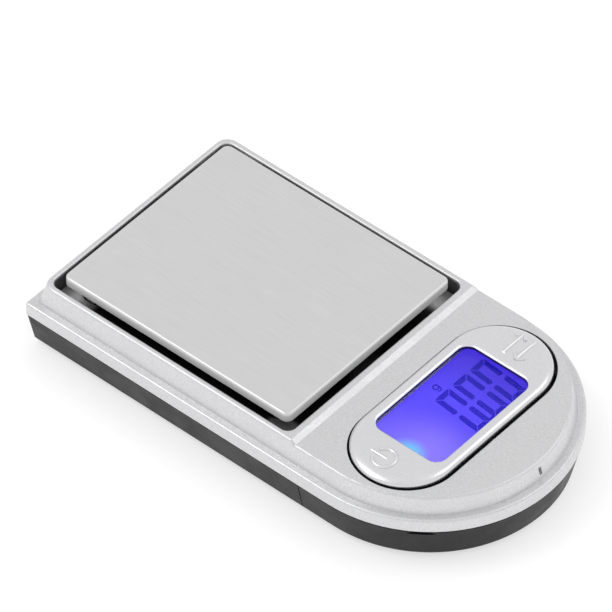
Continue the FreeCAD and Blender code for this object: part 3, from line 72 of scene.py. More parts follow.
class Finish:
    """A node material: one Principled shader, with textures laid out in the piece's own millimetres."""

    def __init__(self, name, colour, roughness, metallic=0.0, **fixed):
        self.material = bpy.data.materials.new(name)
        self.material.use_nodes = True
        self.tree = self.material.node_tree
        self.shader = self.tree.nodes["Principled BSDF"]
        self.fix("Base Color", (*colour, 1.0))
        self.fix("Roughness", roughness)
        self.fix("Metallic", metallic)
        for socket, number in fixed.items():
            self.fix(socket.replace("_", " "), number)
        place = self.add("ShaderNodeVectorMath", operation="SCALE")
        place.inputs["Scale"].default_value = 1 / MM
        self.join(self.add("ShaderNodeTexCoord").outputs["Object"], place.inputs[0])
        self.place = place.outputs[0]
        self.axes = None

    def fix(self, socket, number):
        """Set a shader socket to one value for the whole surface."""
        self.shader.inputs[socket].default_value = number

    def add(self, kind, **settings):
        """A new node with its settings."""
        node = self.tree.nodes.new(kind)
        for name, setting in settings.items():
            setattr(node, name, setting)
        return node

    def join(self, output, socket):
        """Link an output, or put a plain number, into a socket."""
        if isinstance(output, bpy.types.NodeSocket):
            self.tree.links.new(output, socket)
        else:
            socket.default_value = output

    def axis(self, letter):
        """The place along one axis, in millimetres."""
        if self.axes is None:
            self.axes = self.add("ShaderNodeSeparateXYZ")
            self.join(self.place, self.axes.inputs[0])
        return self.axes.outputs[letter]

    def maths(self, operation, first, second, clamp=False):
        """One arithmetic step between two numbers."""
        node = self.add("ShaderNodeMath", operation=operation, use_clamp=clamp)
        self.join(first, node.inputs[0])
        self.join(second, node.inputs[1])
        return node.outputs[0]

    def fade(self, number, start, end, low=0.0, high=1.0):
        """Run smoothly from low to high while the number runs from start to end."""
        node = self.add("ShaderNodeMapRange", interpolation_type="SMOOTHSTEP")
        self.join(number, node.inputs["Value"])
        limits = {"From Min": start, "From Max": end, "To Min": low, "To Max": high}
        for socket, setting in limits.items():
            node.inputs[socket].default_value = setting
        return node.outputs[0]

    def steepen(self, texture, spread, low=0.0, high=1.0):
        """Run from low to high over the middle of a 0 to 1 texture, spread to each side of one half."""
        return self.fade(texture, 0.5 - spread, 0.5 + spread, low, high)

    def within(self, letter, low, high, soft):
        """1 between two places along an axis and 0 outside, over a soft edge."""
        rise = self.fade(self.axis(letter), low - soft, low + soft)
        fall = self.fade(self.axis(letter), high + soft, high - soft)
        return self.maths("MULTIPLY", rise, fall)

    def noise(self, size, detail=2.0, stretch=(1.0, 1.0, 1.0)):
        """Cloudy noise with blotches about size millimetres across, drawn out by stretch."""
        squeeze = self.add("ShaderNodeVectorMath", operation="DIVIDE")
        self.join(self.place, squeeze.inputs[0])
        squeeze.inputs[1].default_value = stretch
        node = self.add("ShaderNodeTexNoise")
        self.join(squeeze.outputs[0], node.inputs["Vector"])
        node.inputs["Scale"].default_value = 1 / size
        node.inputs["Detail"].default_value = detail
        return node.outputs["Fac"]

    def cells(self, size):
        """Small cells, each with a value of its own."""
        node = self.add("ShaderNodeTexVoronoi")
        self.join(self.place, node.inputs["Vector"])
        node.inputs["Scale"].default_value = 1 / size
        split = self.add("ShaderNodeSeparateColor")
        self.join(node.outputs["Color"], split.inputs[0])
        return split.outputs[0]

    def near(self, centre, reach):
        """1 at a point, in millimetres, falling smoothly to 0 at the reach."""
        node = self.add("ShaderNodeVectorMath", operation="DISTANCE")
        self.join(self.place, node.inputs[0])
        node.inputs[1].default_value = centre
        return self.fade(node.outputs["Value"], reach, 0.0)

    def mix(self, factor, first, second):
        """Blend two colours."""
        node = self.add("ShaderNodeMix", data_type="RGBA")
        self.join(factor, node.inputs["Factor"])
        for socket, colour in (("A", first), ("B", second)):
            slot = next(i for i in node.inputs if i.type == "RGBA" and i.name == socket)
            self.join(colour if isinstance(colour, bpy.types.NodeSocket) else (*colour, 1.0), slot)
        return next(o for o in node.outputs if o.type == "RGBA")

    def colour(self, colour):
        """Let the colour follow a blend."""
        self.join(colour, self.shader.inputs["Base Color"])

    def roughness(self, texture, low, high):
        """Let the roughness follow a 0 to 1 texture between two values."""
        self.join(self.steepen(texture, 0.25, low, high), self.shader.inputs["Roughness"])

    def bump(self, *layers):
        """Raise the surface by each layer in turn: a 0 to 1 texture and its height in millimetres."""
        normal = None
        for texture, height in layers:
            node = self.add("ShaderNodeBump")
            node.inputs["Distance"].default_value = height * MM
            self.join(texture, node.inputs["Height"])
            if normal is not None:
                self.join(normal, node.inputs["Normal"])
            normal = node.outputs["Normal"]
        self.join(normal, self.shader.inputs["Normal"])

    def glow(self, colour, strength):
        """Let the surface give light of its own."""
        self.join(colour, self.shader.inputs["Emission Color"])
        self.fix("Emission Strength", strength)


def shade(colour, factor):
    """A colour made lighter or darker."""
    return tuple(channel * factor for channel in colour)


def srgb(red, green, blue):
    """A colour given as it shows on a screen, 0 to 255, as shader values."""
    def linear(channel):
        """The sRGB standard's own curve, undone."""
        channel /= 255
        return channel / 12.92 if channel <= 0.04045 else ((channel + 0.055) / 1.055) ** 2.4
    return linear(red), linear(green), linear(blue)


PEEL_DEPTH = 0.006
FLAKE_DEPTH = 0.0025


def paint_coat(finish, colour, contrast, low, high):
    """Metal-flake paint: tiny flakes of different greys, slow clouds and a faint orange peel."""
    flakes = finish.mix(0.5, finish.cells(size=0.11), finish.noise(size=0.35))
    clouds = finish.noise(size=5.0, detail=3.0)
    peel = finish.noise(size=1.1)
    grain = finish.noise(size=0.12)
    fleck = finish.steepen(flakes, 0.3)
    flecked = finish.mix(fleck, shade(colour, 1 - contrast), shade(colour, 1 + contrast))
    finish.roughness(clouds, low, high)
    finish.bump((peel, PEEL_DEPTH), (grain, FLAKE_DEPTH))
    return finish.mix(finish.steepen(clouds, 0.2, high=0.5), flecked, colour)


def moulded(name, colour, roughness, grain=0.25, depth=0.01, **fixed):
    """Moulded plastic or rubber: fine spark grain, faint clouds in the colour and the gloss."""
    finish = Finish(name, colour, roughness, **fixed)
    clouds = finish.noise(size=3.0, detail=4.0)
    darker, lighter = shade(colour, 0.88), shade(colour, 1.12)
    glossiest, dullest = roughness - 0.06, roughness + 0.08
    finish.colour(finish.mix(clouds, darker, lighter))
    finish.roughness(clouds, glossiest, dullest)
    finish.bump((finish.noise(grain, detail=3.0), depth))
    return finish.material


def machined(name, colour, roughness, stretch, grain=0.08, depth=0.004):
    """Bare metal with fine tool marks drawn out along an axis."""
    finish = Finish(name, colour, roughness, metallic=1.0)
    marks = finish.noise(grain, detail=3.0, stretch=stretch)
    darker, lighter = shade(colour, 0.8), shade(colour, 1.15)
    glossiest, dullest = roughness - 0.08, roughness + 0.1
    finish.colour(finish.mix(marks, darker, lighter))
    finish.roughness(marks, glossiest, dullest)
    finish.bump((marks, depth))
    return finish.material


# ---- materials: one for each slot ---------------------------------------------------------

def silver_paint():
    """Satin silver on the upper case, but dark in the platform's pocket and the key's well: bare
    plastic there, with painted shade darkening towards the pocket's floor.
    """
    silver = (0.68, 0.68, 0.69)
    gloss = 0.8
    finish = Finish("silver_paint", silver, roughness=0.38, metallic=gloss)
    painted = paint_coat(finish, silver, contrast=0.09, low=0.36, high=0.44)
    bare_and_shaded = finish.maths("MAXIMUM", pocket_bare_and_shade_mask(finish), well_bare_and_shade_mask(finish))
    # Painted shade: the bare colour darkens towards the pocket's floor, deep in the recess.
    rise = finish.fade(finish.axis("Z"), POCKET_FLOOR_Z + BARE_SHADE_DARK, POCKET_FLOOR_Z + BARE_SHADE_GREY)
    bare_with_shade = finish.mix(rise, srgb(20, 20, 21), srgb(84, 84, 86))
    finish.colour(finish.mix(bare_and_shaded, painted, bare_with_shade))
    finish.join(finish.fade(bare_and_shaded, 0.0, 1.0, gloss, 0.0), finish.shader.inputs["Metallic"])
    return finish.material


# The masks' lengths, in millimetres.  The bare colour, darkened by painted shade towards the pocket's
# floor, runs from dark to grey over two heights above the pocket's floor.  A pair says where a mask
# starts to change and where it has changed.
BARE_SHADE_DARK = 0.1
BARE_SHADE_GREY = 1.5
POCKET_REACH = 1.5
POCKET_BLUR = 0.02
WALL_FOOT = 0.12
WALL_TOP = 0.45
WALL_BLUR = 0.03
HOLE_DEPTHS = (0.05, 0.15)
RIM_DEPTHS = (0.42, 0.48)
CORNER_ACROSS = (3.5, 1.5)
CORNER_ALONG = (5.0, 2.5)
WELL_REACH = 0.6
WELL_BLUR = 0.05
WELL_FADE = 0.1

# How much of the dark colour, bare plastic with painted shade under the pan, the corners of the
# pocket's floor keep, as a share.
CORNER_SHADE = 0.1


def pocket_corners(finish, high, middle_y):
    """1 towards the four corners of the platform's pocket, whose floor stays silver there: the paint
    reaches it and the painted shade under the pan thins out.
    """
    off_x = finish.maths("ABSOLUTE", finish.axis("X"), 0.0)
    off_y = finish.maths("SUBTRACT", finish.axis("Y"), middle_y)
    off_y = finish.maths("ABSOLUTE", off_y, 0.0)
    half_length = high.y - middle_y
    across = finish.fade(off_x, *(high.x - inset for inset in CORNER_ACROSS))
    along = finish.fade(off_y, *(half_length - inset for inset in CORNER_ALONG))
    return finish.maths("MULTIPLY", across, along)


def pocket_bare_and_shade_mask(finish):
    """1 on the pocket's walls, in its screw holes and on its floor but for its corners: bare dark
    plastic with painted shade in the recess under the pan.
    """
    low, high = (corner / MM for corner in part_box("weighing_pan"))
    height = finish.axis("Z")
    across = finish.within("X", low.x - POCKET_REACH, high.x + POCKET_REACH, POCKET_BLUR)
    along = finish.within("Y", low.y - POCKET_REACH, high.y + POCKET_REACH, POCKET_BLUR)
    walls = finish.within("Z", POCKET_FLOOR_Z + WALL_FOOT, RIM_Z - WALL_TOP, WALL_BLUR)
    holes = finish.fade(height, *(POCKET_FLOOR_Z - depth for depth in HOLE_DEPTHS))
    corners = pocket_corners(finish, high, (low.y + high.y) / 2)
    # Painted shade under the pan: the floor stays dark but for its corners.
    floor_shade = finish.fade(corners, 0.0, 1.0, 1.0, CORNER_SHADE)
    dark = finish.maths("MAXIMUM", finish.maths("MAXIMUM", walls, holes), floor_shade)
    below_rim = finish.fade(height, *(RIM_Z - depth for depth in RIM_DEPTHS))
    inside = finish.maths("MULTIPLY", across, along)
    return finish.maths("MULTIPLY", finish.maths("MULTIPLY", dark, below_rim), inside)


def well_bare_and_shade_mask(finish):
    """1 inside the well round the key, below its edge, where the gap is dark: bare plastic with painted
    shade. The well is a rectangle with round ends.
    """
    middle_y, radius, half_run = (size / MM for size in key_plan())
    edge_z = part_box("rocker_key")[1].z / MM - WELL_EDGE
    sideways = finish.maths("SUBTRACT", finish.maths("ABSOLUTE", finish.axis("X"), 0.0), half_run)
    sideways = finish.maths("MAXIMUM", sideways, 0.0)
    lengthways = finish.maths("SUBTRACT", finish.axis("Y"), middle_y)
    squares = finish.maths(
        "ADD", finish.maths("POWER", sideways, 2.0), finish.maths("MULTIPLY", lengthways, lengthways)
    )
    reach = radius + WELL_REACH
    inside = finish.fade(finish.maths("SQRT", squares, 0.0), reach, reach - WELL_BLUR)
    # Painted shade, with bare plastic, down in the gap round the key.
    below = finish.fade(finish.axis("Z"), edge_z, edge_z - WELL_FADE)
    return finish.maths("MULTIPLY", inside, below)


def key_silver():
    """Brighter, glossier silver on the key."""
    silver = (0.76, 0.76, 0.78)
    coat = {"Coat_Weight": 0.2, "Coat_Roughness": 0.12}
    finish = Finish("key_silver", silver, roughness=0.24, metallic=0.9, **coat)
    finish.colour(paint_coat(finish, silver, contrast=0.04, low=0.2, high=0.27))
    return finish.material


def black_plastic():
    black = (0.012, 0.012, 0.013)
    dull = {"Specular_IOR_Level": 0.22}
    return moulded("black_plastic", black, roughness=0.4, grain=0.3, depth=0.01, **dull)


SKIRT_DEPTHS = (0.15, 0.4)
BRUSH_DEPTH = 0.002


def brushed_steel():
    """The pan: stainless steel brushed lengthways on top, with a duller folded skirt."""
    steel = (0.69, 0.69, 0.69)
    metal_top, metal_skirt = 0.8, 0.2
    finish = Finish("brushed_steel", steel, roughness=0.36, metallic=metal_top)
    fine = finish.noise(size=0.07, stretch=(1.0, 60.0, 1.0))
    coarse = finish.noise(size=0.3, stretch=(1.0, 22.0, 1.0))
    clouds = finish.noise(size=9.0)
    strokes = finish.mix(0.4, fine, coarse)
    streaked = finish.mix(finish.steepen(strokes, 0.2), shade(steel, 0.96), shade(steel, 1.04))
    finish.colour(finish.mix(finish.steepen(clouds, 0.3, high=0.3), streaked, shade(steel, 0.97)))
    finish.roughness(strokes, 0.32, 0.44)
    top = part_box("weighing_pan")[1].z / MM
    fold = (top - depth for depth in SKIRT_DEPTHS)
    metal = finish.fade(finish.axis("Z"), *fold, metal_top, metal_skirt)
    finish.join(metal, finish.shader.inputs["Metallic"])
    finish.bump((fine, BRUSH_DEPTH), (coarse, BRUSH_DEPTH))
    return finish.material


def foam():
    return moulded("foam", (0.75, 0.74, 0.7), roughness=0.85, grain=0.12, depth=0.06)


def beam_aluminium():
    return machined("beam_aluminium", (0.78, 0.78, 0.8), roughness=0.34, stretch=(40.0, 1.0, 1.0))


def gauge_coat():
    return moulded("gauge_coat", (0.82, 0.8, 0.72), roughness=0.35, grain=0.8, depth=0.03)


def screw_steel():
    dark = (0.09, 0.09, 0.095)
    return machined("screw_steel", dark, roughness=0.35, stretch=(1.0, 1.0, 8.0), grain=0.1)


def foot_rubber():
    return moulded("foot_rubber", (0.02, 0.02, 0.021), roughness=0.75, grain=0.18, depth=0.02)


def dome_rubber():
    return moulded("dome_rubber", (0.5, 0.5, 0.5), roughness=0.6, grain=0.4, depth=0.01)


def zebra_rubber():
    """Rubber connector with fine conducting layers across it."""
    pale, conducting = (0.75, 0.72, 0.68), (0.02, 0.02, 0.02)
    finish = Finish("zebra_rubber", pale, roughness=0.6)
    layers = finish.add("ShaderNodeTexWave", bands_direction="X")
    finish.join(finish.place, layers.inputs["Vector"])
    layers.inputs["Scale"].default_value = 1.5
    finish.colour(finish.mix(finish.steepen(layers.outputs["Fac"], 0.1), pale, conducting))
    finish.bump((finish.noise(size=0.3), 0.01))
    return finish.material


def board_green():
    """Solder mask over copper: traces run as slightly lighter, raised lines."""
    mask = (0.01, 0.13, 0.045)
    copper_under_mask = (0.03, 0.26, 0.09)
    finish = Finish("board_green", mask, roughness=0.3, Coat_Weight=0.4)
    traces = finish.add("ShaderNodeTexBrick", offset=0.5, squash=1.0)
    finish.join(finish.place, traces.inputs["Vector"])
    traces.inputs["Scale"].default_value = 0.55
    traces.inputs["Mortar Size"].default_value = 0.035
    line = traces.outputs["Fac"]
    clouds = finish.noise(size=2.0, detail=3.0)
    cloudy = finish.mix(clouds, shade(mask, 0.85), shade(mask, 1.15))
    finish.colour(finish.mix(line, cloudy, copper_under_mask))
    finish.roughness(clouds, 0.26, 0.36)
    finish.bump((line, 0.03))
    return finish.material


def resin_black():
    return moulded("resin_black", (0.012, 0.012, 0.013), roughness=0.25, grain=0.9, depth=0.04)


def display_light(finish, low, middle, high):
    """Colour along the display: bright violet by the lamp at the left end, deeper blue to the right."""
    start, end = (corner.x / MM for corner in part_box("display_window"))
    along = finish.axis("X")
    near_half = finish.mix(finish.fade(along, start, (start + end) / 2), low, middle)
    return finish.mix(finish.fade(along, (start + end) / 2, end), near_half, high)


# The lamp's pale spot is placed from the lamp and its haze from the spot, in millimetres.  A strength
# over 1 gives the spot a flat middle.
SPOT_SHIFT = (0.2, -0.3)
SPOT_REACH = 3.3
SPOT_STRENGTH = 1.2
HAZE_SHIFT = (2.0, -1.8)
HAZE_REACH = 8.0
HAZE_STRENGTH = 0.75


def lcd_blue():
    """The lit display. The lamp at its left end shows as a pale spot with a violet glow round it."""
    finish = Finish("lcd_blue", (0.01, 0.008, 0.05), roughness=0.5, Specular_IOR_Level=0.1)
    lamp_low, lamp_high = (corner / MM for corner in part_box("backlight_led"))
    glass_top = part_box("lcd_glass")[1].z / MM
    lamp_y = (lamp_low.y + lamp_high.y) / 2
    spot = (lamp_high.x + SPOT_SHIFT[0], lamp_y + SPOT_SHIFT[1], glass_top)
    haze_centre = (spot[0] + HAZE_SHIFT[0], spot[1] + HAZE_SHIFT[1], glass_top)
    lit = display_light(finish, srgb(112, 96, 250), srgb(84, 66, 250), srgb(66, 46, 214))
    haze = finish.maths("MULTIPLY", finish.near(haze_centre, HAZE_REACH), HAZE_STRENGTH)
    lit = finish.mix(haze, lit, srgb(146, 128, 250))
    core = finish.maths("MULTIPLY", finish.near(spot, SPOT_REACH), SPOT_STRENGTH, clamp=True)
    lit = finish.mix(core, lit, srgb(104, 218, 255))
    finish.glow(lit, strength=1.0)
    finish.bump((finish.noise(size=1.5), 0.004))
    return finish.material


def lcd_ink():
    """The figures: dark blue, with a little of the backlight coming through."""
    finish = Finish("lcd_ink", (0.006, 0.003, 0.03), roughness=0.5, Specular_IOR_Level=0.1)
    lit = display_light(finish, srgb(24, 6, 206), srgb(18, 0, 192), srgb(10, 0, 164))
    leak = finish.maths("MULTIPLY", finish.noise(size=2.0), 0.1)
    finish.glow(finish.mix(leak, lit, srgb(36, 20, 196)), strength=1.0)
    finish.bump((finish.noise(size=0.5), 0.002))
    return finish.material


def frame_white():
    return moulded("frame_white", (0.75, 0.75, 0.76), roughness=0.5, grain=0.4, depth=0.008)


def guide_clear():
    """The clear plate behind the display, lit through by its lamp."""
    clear = {"Transmission_Weight": 0.6, "IOR": 1.49}
    finish = Finish("guide_clear", (0.8, 0.85, 1.0), roughness=0.2, **clear)
    lit = finish.mix(finish.noise(size=2.5), srgb(120, 110, 255), srgb(90, 80, 250))
    finish.glow(lit, strength=0.6)
    finish.bump((finish.noise(size=0.4), 0.01))
    return finish.material


def led_white():
    """The lamp itself, the brightest thing behind the display."""
    finish = Finish("led_white", (0.9, 0.9, 0.8), roughness=0.3)
    lit = finish.mix(finish.noise(size=0.6), srgb(190, 225, 255), srgb(150, 205, 255))
    finish.glow(lit, strength=1.5)
    finish.bump((finish.noise(size=0.3), 0.01))
    return finish.material


def window_clear():
    """Clear plastic, barely wavy, with faint fingerprints in its gloss.

    It bends light far less than real plastic does, so that the display keeps its contrast."""
    clear = {"Transmission_Weight": 1.0, "IOR": 1.02, "Coat_Weight": 0.25}
    finish = Finish("window_clear", (0.97, 0.97, 1.0), roughness=0.02, **clear)
    finish.roughness(finish.noise(size=2.2, detail=4.0), 0.0, 0.05)
    finish.bump((finish.noise(size=6.0), 0.01))
    return finish.material


def cell_steel():
    steel = (0.7, 0.69, 0.67)
    return machined("cell_steel", steel, roughness=0.25, stretch=(1.0, 14.0, 1.0), grain=0.12)


def contact_metal():
    return machined("contact_metal", (0.72, 0.66, 0.5), roughness=0.28, stretch=(12.0, 1.0, 1.0))


def wire(name, colour):
    return moulded(name, colour, roughness=0.4, grain=0.2, depth=0.01)


def wire_red():
    return wire("wire_red", (0.55, 0.02, 0.015))


def wire_black():
    return wire("wire_black", (0.015, 0.015, 0.016))


def wire_green():
    return wire("wire_green", (0.015, 0.3, 0.05))


def wire_white():
    return wire("wire_white", (0.75, 0.75, 0.73))


FINISHES = (
    silver_paint, key_silver, black_plastic, brushed_steel, foam, beam_aluminium, gauge_coat,
    screw_steel, foot_rubber, dome_rubber, zebra_rubber, board_green, resin_black, lcd_blue,
    frame_white, guide_clear, led_white, window_clear, cell_steel, contact_metal,
    wire_red, wire_black, wire_green, wire_white,
)


def paint_nodes():
    """Give every CAD node the finish of its slot. Returns the finishes by slot."""
    made = {make.__name__: make() for make in FINISHES}
    for part in frame["record"]["subparts"]:
        mesh = frame["nodes"][part["node"]].data
        mesh.materials.clear()
        mesh.materials.append(made[part["material_slot"]])
    return made


# ---- places taken from the frame ----------------------------------------------------------

RIM_STEP = 0.1 * MM
RIM_STEPS = 30
BESIDE_PAN = 0.4 * MM


def surface(thing):
    """A mesh object's surface, to ask for its height at a place."""
    mesh = thing.data
    return BVHTree.FromPolygons([v.co for v in mesh.vertices], [p.vertices for p in mesh.polygons])


def height_at(tree, x, y):
    """The height of a surface seen from straight above."""
    hit = tree.ray_cast(Vector((x, y, cad_box[1].z + MM)), Vector((0, 0, -1)))[0]
    return hit.z


def rim_height():
    """The top of the rim beside the pan, in millimetres."""
    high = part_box("weighing_pan")[1]
    tree = surface(frame["nodes"]["upper_case"])
    places = (high.x + step * RIM_STEP for step in range(1, RIM_STEPS))
    return max(height_at(tree, x, 0.0) for x in places) / MM


def pocket_floor_height():
    """The floor of the pocket just outside the pan's skirt, in millimetres."""
    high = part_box("weighing_pan")[1]
    return height_at(surface(frame["nodes"]["upper_case"]), high.x + BESIDE_PAN, 0.0) / MM


def window_middle_y():
    """The middle of the window, along the scale."""
    low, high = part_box("display_window")
    return (low.y + high.y) / 2


def opening_sides():
    """Half the length and half the width of the opening in the key."""
    low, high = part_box("display_window")
    inset = SEAT_WIDTH - WINDOW_PLAY
    return (high.x - low.x) / 2 - inset, (high.y - low.y) / 2 - inset


def key_plan():
    """The middle of the round-ended key, its end radius and half the straight run between its ends."""
    low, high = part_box("rocker_key")
    radius = opening_sides()[1] + KEY_BEZEL
    return window_middle_y(), radius, (high.x - low.x) / 2 - radius


# For the masks, in millimetres.  The well's edge is measured down from the key's top.
RIM_Z = rim_height()
POCKET_FLOOR_Z = pocket_floor_height()
WELL_EDGE = 1.0

# The key's own sizes: round its opening, and for the window that sits in it.
KEY_BEZEL = 1.65 * MM
SEAT_WIDTH = 0.6 * MM
WINDOW_PLAY = 0.05 * MM


# ---- display figures ----------------------------------------------------------------------

# Places are measured from the middle of the window, to the right and up or down the display.
FIGURE_COUNT = 3
FIRST_FIGURE_X = 1.08 * MM
FIGURE_DROP = 0.95 * MM
FIGURE_HALF_HEIGHT = 3.53 * MM
FIGURE_HALF_WIDTH = 1.02 * MM
FIGURE_PITCH = 3.475 * MM
FIGURE_STROKE = 0.4 * MM
FIGURE_GAP = 0.09 * MM
FIGURE_SLANT = math.radians(5.5)
FIGURE_WAIST = 0.3 * MM
INK_DEPTH = 0.03 * MM
POINT_HALF = 0.28 * MM
POINT_SHIFT = 0.35 * MM
POINT_DROP = 0.15 * MM
UNIT_X = 1.9 * MM
UNIT_RISE = 4.3 * MM
UNIT_RADIUS = 0.38 * MM
UNIT_STROKE = 0.2 * MM
HOOK_DROP = 1.1 * UNIT_RADIUS


def bar_outline(width, height, stroke, gap):
    """The bar along the top of a figure, mitred at both ends."""
    return [
        (-width - stroke + gap + 0.25 * stroke, height + 0.75 * stroke),
        (-width - 0.5 * stroke + gap, height + stroke),
        (width + 0.5 * stroke - gap, height + stroke),
        (width + stroke - gap - 0.25 * stroke, height + 0.75 * stroke),
        (width - stroke - gap, height - stroke),
        (-width + stroke + gap, height - stroke),
    ]


def side_outline(width, height, stroke, gap, waist):
    """The upper right bar of a figure, mitred at the top and blunt-pointed at the waist."""
    shoulder = waist + 0.6 * stroke
    blunt = 0.4 * stroke
    return [
        (width + stroke, height + 0.5 * stroke - gap),
        (width + 0.75 * stroke, height + 0.75 * stroke - gap),
        (width - stroke, height - stroke - gap),
        (width - stroke, shoulder),
        (width - blunt, waist),
        (width + blunt, waist),
        (width + stroke, shoulder),
    ]


def zero_outlines():
    """The six bars of a nought."""
    bar = bar_outline(FIGURE_HALF_WIDTH, FIGURE_HALF_HEIGHT, FIGURE_STROKE, FIGURE_GAP)
    side = side_outline(
        FIGURE_HALF_WIDTH, FIGURE_HALF_HEIGHT, FIGURE_STROKE, FIGURE_GAP, FIGURE_WAIST
    )
    bars = [bar, [(x, -y) for x, y in bar]]
    sides = [[(sx * x, sy * y) for x, y in side] for sx in (1, -1) for sy in (1, -1)]
    return bars + sides


def plate(mesh, outline, z_low, z_high):
    """Add a thin plate with this outline to the mesh."""
    lower = [mesh.verts.new((x, y, z_low)) for x, y in outline]
    upper = [mesh.verts.new((x, y, z_high)) for x, y in outline]
    mesh.faces.new(upper)
    mesh.faces.new(lower[::-1])
    for i, corner in enumerate(lower):
        j = (i + 1) % len(lower)
        mesh.faces.new((corner, lower[j], upper[j], upper[i]))


def add_piece(name, mesh, material, body):
    """Turn finished mesh data into a piece that rides on a body."""
    bmesh.ops.recalc_face_normals(mesh, faces=mesh.faces)
    data = bpy.data.meshes.new(name)
    mesh.to_mesh(data)
    mesh.free()
    data.materials.append(material)
    piece = bpy.data.objects.new(name, data)
    bpy.context.scene.collection.objects.link(piece)
    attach(piece, body)
    return piece


SHARP_EDGE = math.radians(50)


def smooth(piece):
    """Shade the piece smoothly, but for its sharp edges."""
    for face in piece.data.polygons:
        face.use_smooth = True
    piece.data.set_sharp_from_angle(angle=SHARP_EDGE)


def display_figures(material):
    """Nought point nought nought on the glass, right-aligned in the window."""
    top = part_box("lcd_glass")[1].z
    middle_y = window_middle_y() - FIGURE_DROP
    mesh = bmesh.new()
    for i in range(FIGURE_COUNT):
        centre = FIRST_FIGURE_X + i * FIGURE_PITCH
        for outline in zero_outlines():
            slanted = [(centre + x + y * math.tan(FIGURE_SLANT), middle_y + y) for x, y in outline]
            plate(mesh, slanted, top, top + INK_DEPTH)
    point_x = FIRST_FIGURE_X + FIGURE_PITCH / 2 - POINT_SHIFT
    point_y = middle_y - FIGURE_HALF_HEIGHT - POINT_DROP
    corners = [(-1, -1), (1, -1), (1, 1), (-1, 1)]
    square = [(point_x + x * POINT_HALF, point_y + y * POINT_HALF) for x, y in corners]
    plate(mesh, square, top, top + INK_DEPTH)
    add_piece("display_figures", mesh, material, "case")


def ribbon(mesh, path, width, z_low, z_high):
    """A flat stroke of even width along a path, as one plate."""
    left, right = [], []
    for i, here in enumerate(path):
        before = Vector(path[max(i - 1, 0)])
        after = Vector(path[min(i + 1, len(path) - 1)])
        along = (after - before).normalized()
        side = Vector((-along.y, along.x)) * (width / 2)
        left.append(Vector(here) + side)
        right.append(Vector(here) - side)
    plate(mesh, left + right[::-1], z_low, z_high)


def circle_path(x, y, radius, start, end, steps):
    """Points along an arc, with the angles in degrees."""
    angles = (math.radians(start + (end - start) * i / steps) for i in range(steps + 1))
    return [(x + radius * math.cos(a), y + radius * math.sin(a)) for a in angles]


def unit_letter(material):
    """The small g for grams above the first figure."""
    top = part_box("lcd_glass")[1].z
    x, y = UNIT_X, window_middle_y() + UNIT_RISE
    right = x + UNIT_RADIUS
    mesh = bmesh.new()
    bowl = circle_path(x, y, UNIT_RADIUS, start=20, end=340, steps=24)
    ribbon(mesh, bowl, UNIT_STROKE, top, top + INK_DEPTH)
    stem = [(right, y + UNIT_RADIUS), (right, y - UNIT_RADIUS)]
    hook = circle_path(x, y - HOOK_DROP, UNIT_RADIUS, start=0, end=-150, steps=12)
    ribbon(mesh, stem + hook, UNIT_STROKE, top, top + INK_DEPTH)
    add_piece("display_unit", mesh, material, "case")


# ---- the key ------------------------------------------------------------------------------

KEY_THICKNESS = 1.3 * MM
TINY = 0.001 * MM
WINDOW_CORNER = 1.6 * MM
KEY_EDGE_DROP = 0.72 * MM
SILL_DROP = 0.22 * MM
PILLOW_STEPS = 10

# The crown rises by a share of the width under it, and a higher power makes the cushion squarer.
PILLOW_RISE = 0.03
PILLOW_POWER = 2.3

SEAT_CORNERS = 3
CORNER_STEPS = 14
SIDE_STEPS = 12


def opening_quarter(side_x, side_y):
    """Points round a quarter of the key's opening, each with its outward direction."""
    along_y = [(Vector((side_x, (side_y - WINDOW_CORNER) * i / SIDE_STEPS)), Vector((1.0, 0.0)))
               for i in range(SIDE_STEPS)]
    centre = Vector((side_x - WINDOW_CORNER, side_y - WINDOW_CORNER))
    corner = []
    for i in range(CORNER_STEPS + 1):
        angle = math.pi / 2 * i / CORNER_STEPS
        outward = Vector((math.cos(angle), math.sin(angle)))
        corner.append((centre + outward * WINDOW_CORNER, outward))
    along_x = [(Vector((centre.x * (1 - i / SIDE_STEPS), side_y)), Vector((0.0, 1.0)))
               for i in range(1, SIDE_STEPS + 1)]
    return along_y + corner + along_x


def opening_outline(side_x, side_y):
    """The whole outline, a quarter at a time and back to where it starts."""
    quarter = opening_quarter(side_x, side_y)
    outline = []
    for sx, sy in ((1, 1), (-1, 1), (-1, -1), (1, -1)):
        turned = [(Vector((sx * p.x, sy * p.y)), Vector((sx * n.x, sy * n.y))) for p, n in quarter]
        outline += turned[:-1] if sx == sy else turned[:0:-1]
    return outline


def reach_to_edge(point, outward, radius, half_run):
    """How far it is from the opening to the key's round-ended edge."""
    if abs(outward.y) > 0.0:
        straight = (radius - abs(point.y)) / abs(outward.y)
        if abs(point.x + outward.x * straight) <= half_run:
            return straight
    centre = Vector((math.copysign(half_run, point.x), 0.0))
    towards = outward.dot(point - centre)
    return -towards + math.sqrt(towards ** 2 - (point - centre).length_squared + radius ** 2)


def pillow_height(step, edge, crown, sill):
    """Height across the key's cushioned top, from its outer edge at step 0 to its sill."""
    place = step / PILLOW_STEPS
    foot = edge if place < 1 else sill
    bulge = (1 - abs(1 - place) ** PILLOW_POWER) ** (1 / PILLOW_POWER)
    return foot + (crown - foot) * bulge


def key_section(point, outward, width, levels):
    """One closed slice through the key's frame, from its outer foot over the top and back below.

    The levels are the heights of its underside, outer edge, crown, sill and window seat."""
    under, edge, crown, sill, seat = levels
    crown += PILLOW_RISE * width
    slice_points = [(width, under)]
    for step in range(2 * PILLOW_STEPS + 1):
        angle = math.pi * step / (2 * PILLOW_STEPS)
        across = (1 + math.cos(angle)) / 2
        place = PILLOW_STEPS * 2 * (1 - across)
        slice_points.append((width * across, pillow_height(place, edge, crown, sill)))
    slice_points += [(0.0, seat), (SEAT_WIDTH, seat), (SEAT_WIDTH, under)]
    return [(*(point + outward * distance), z) for distance, z in slice_points]


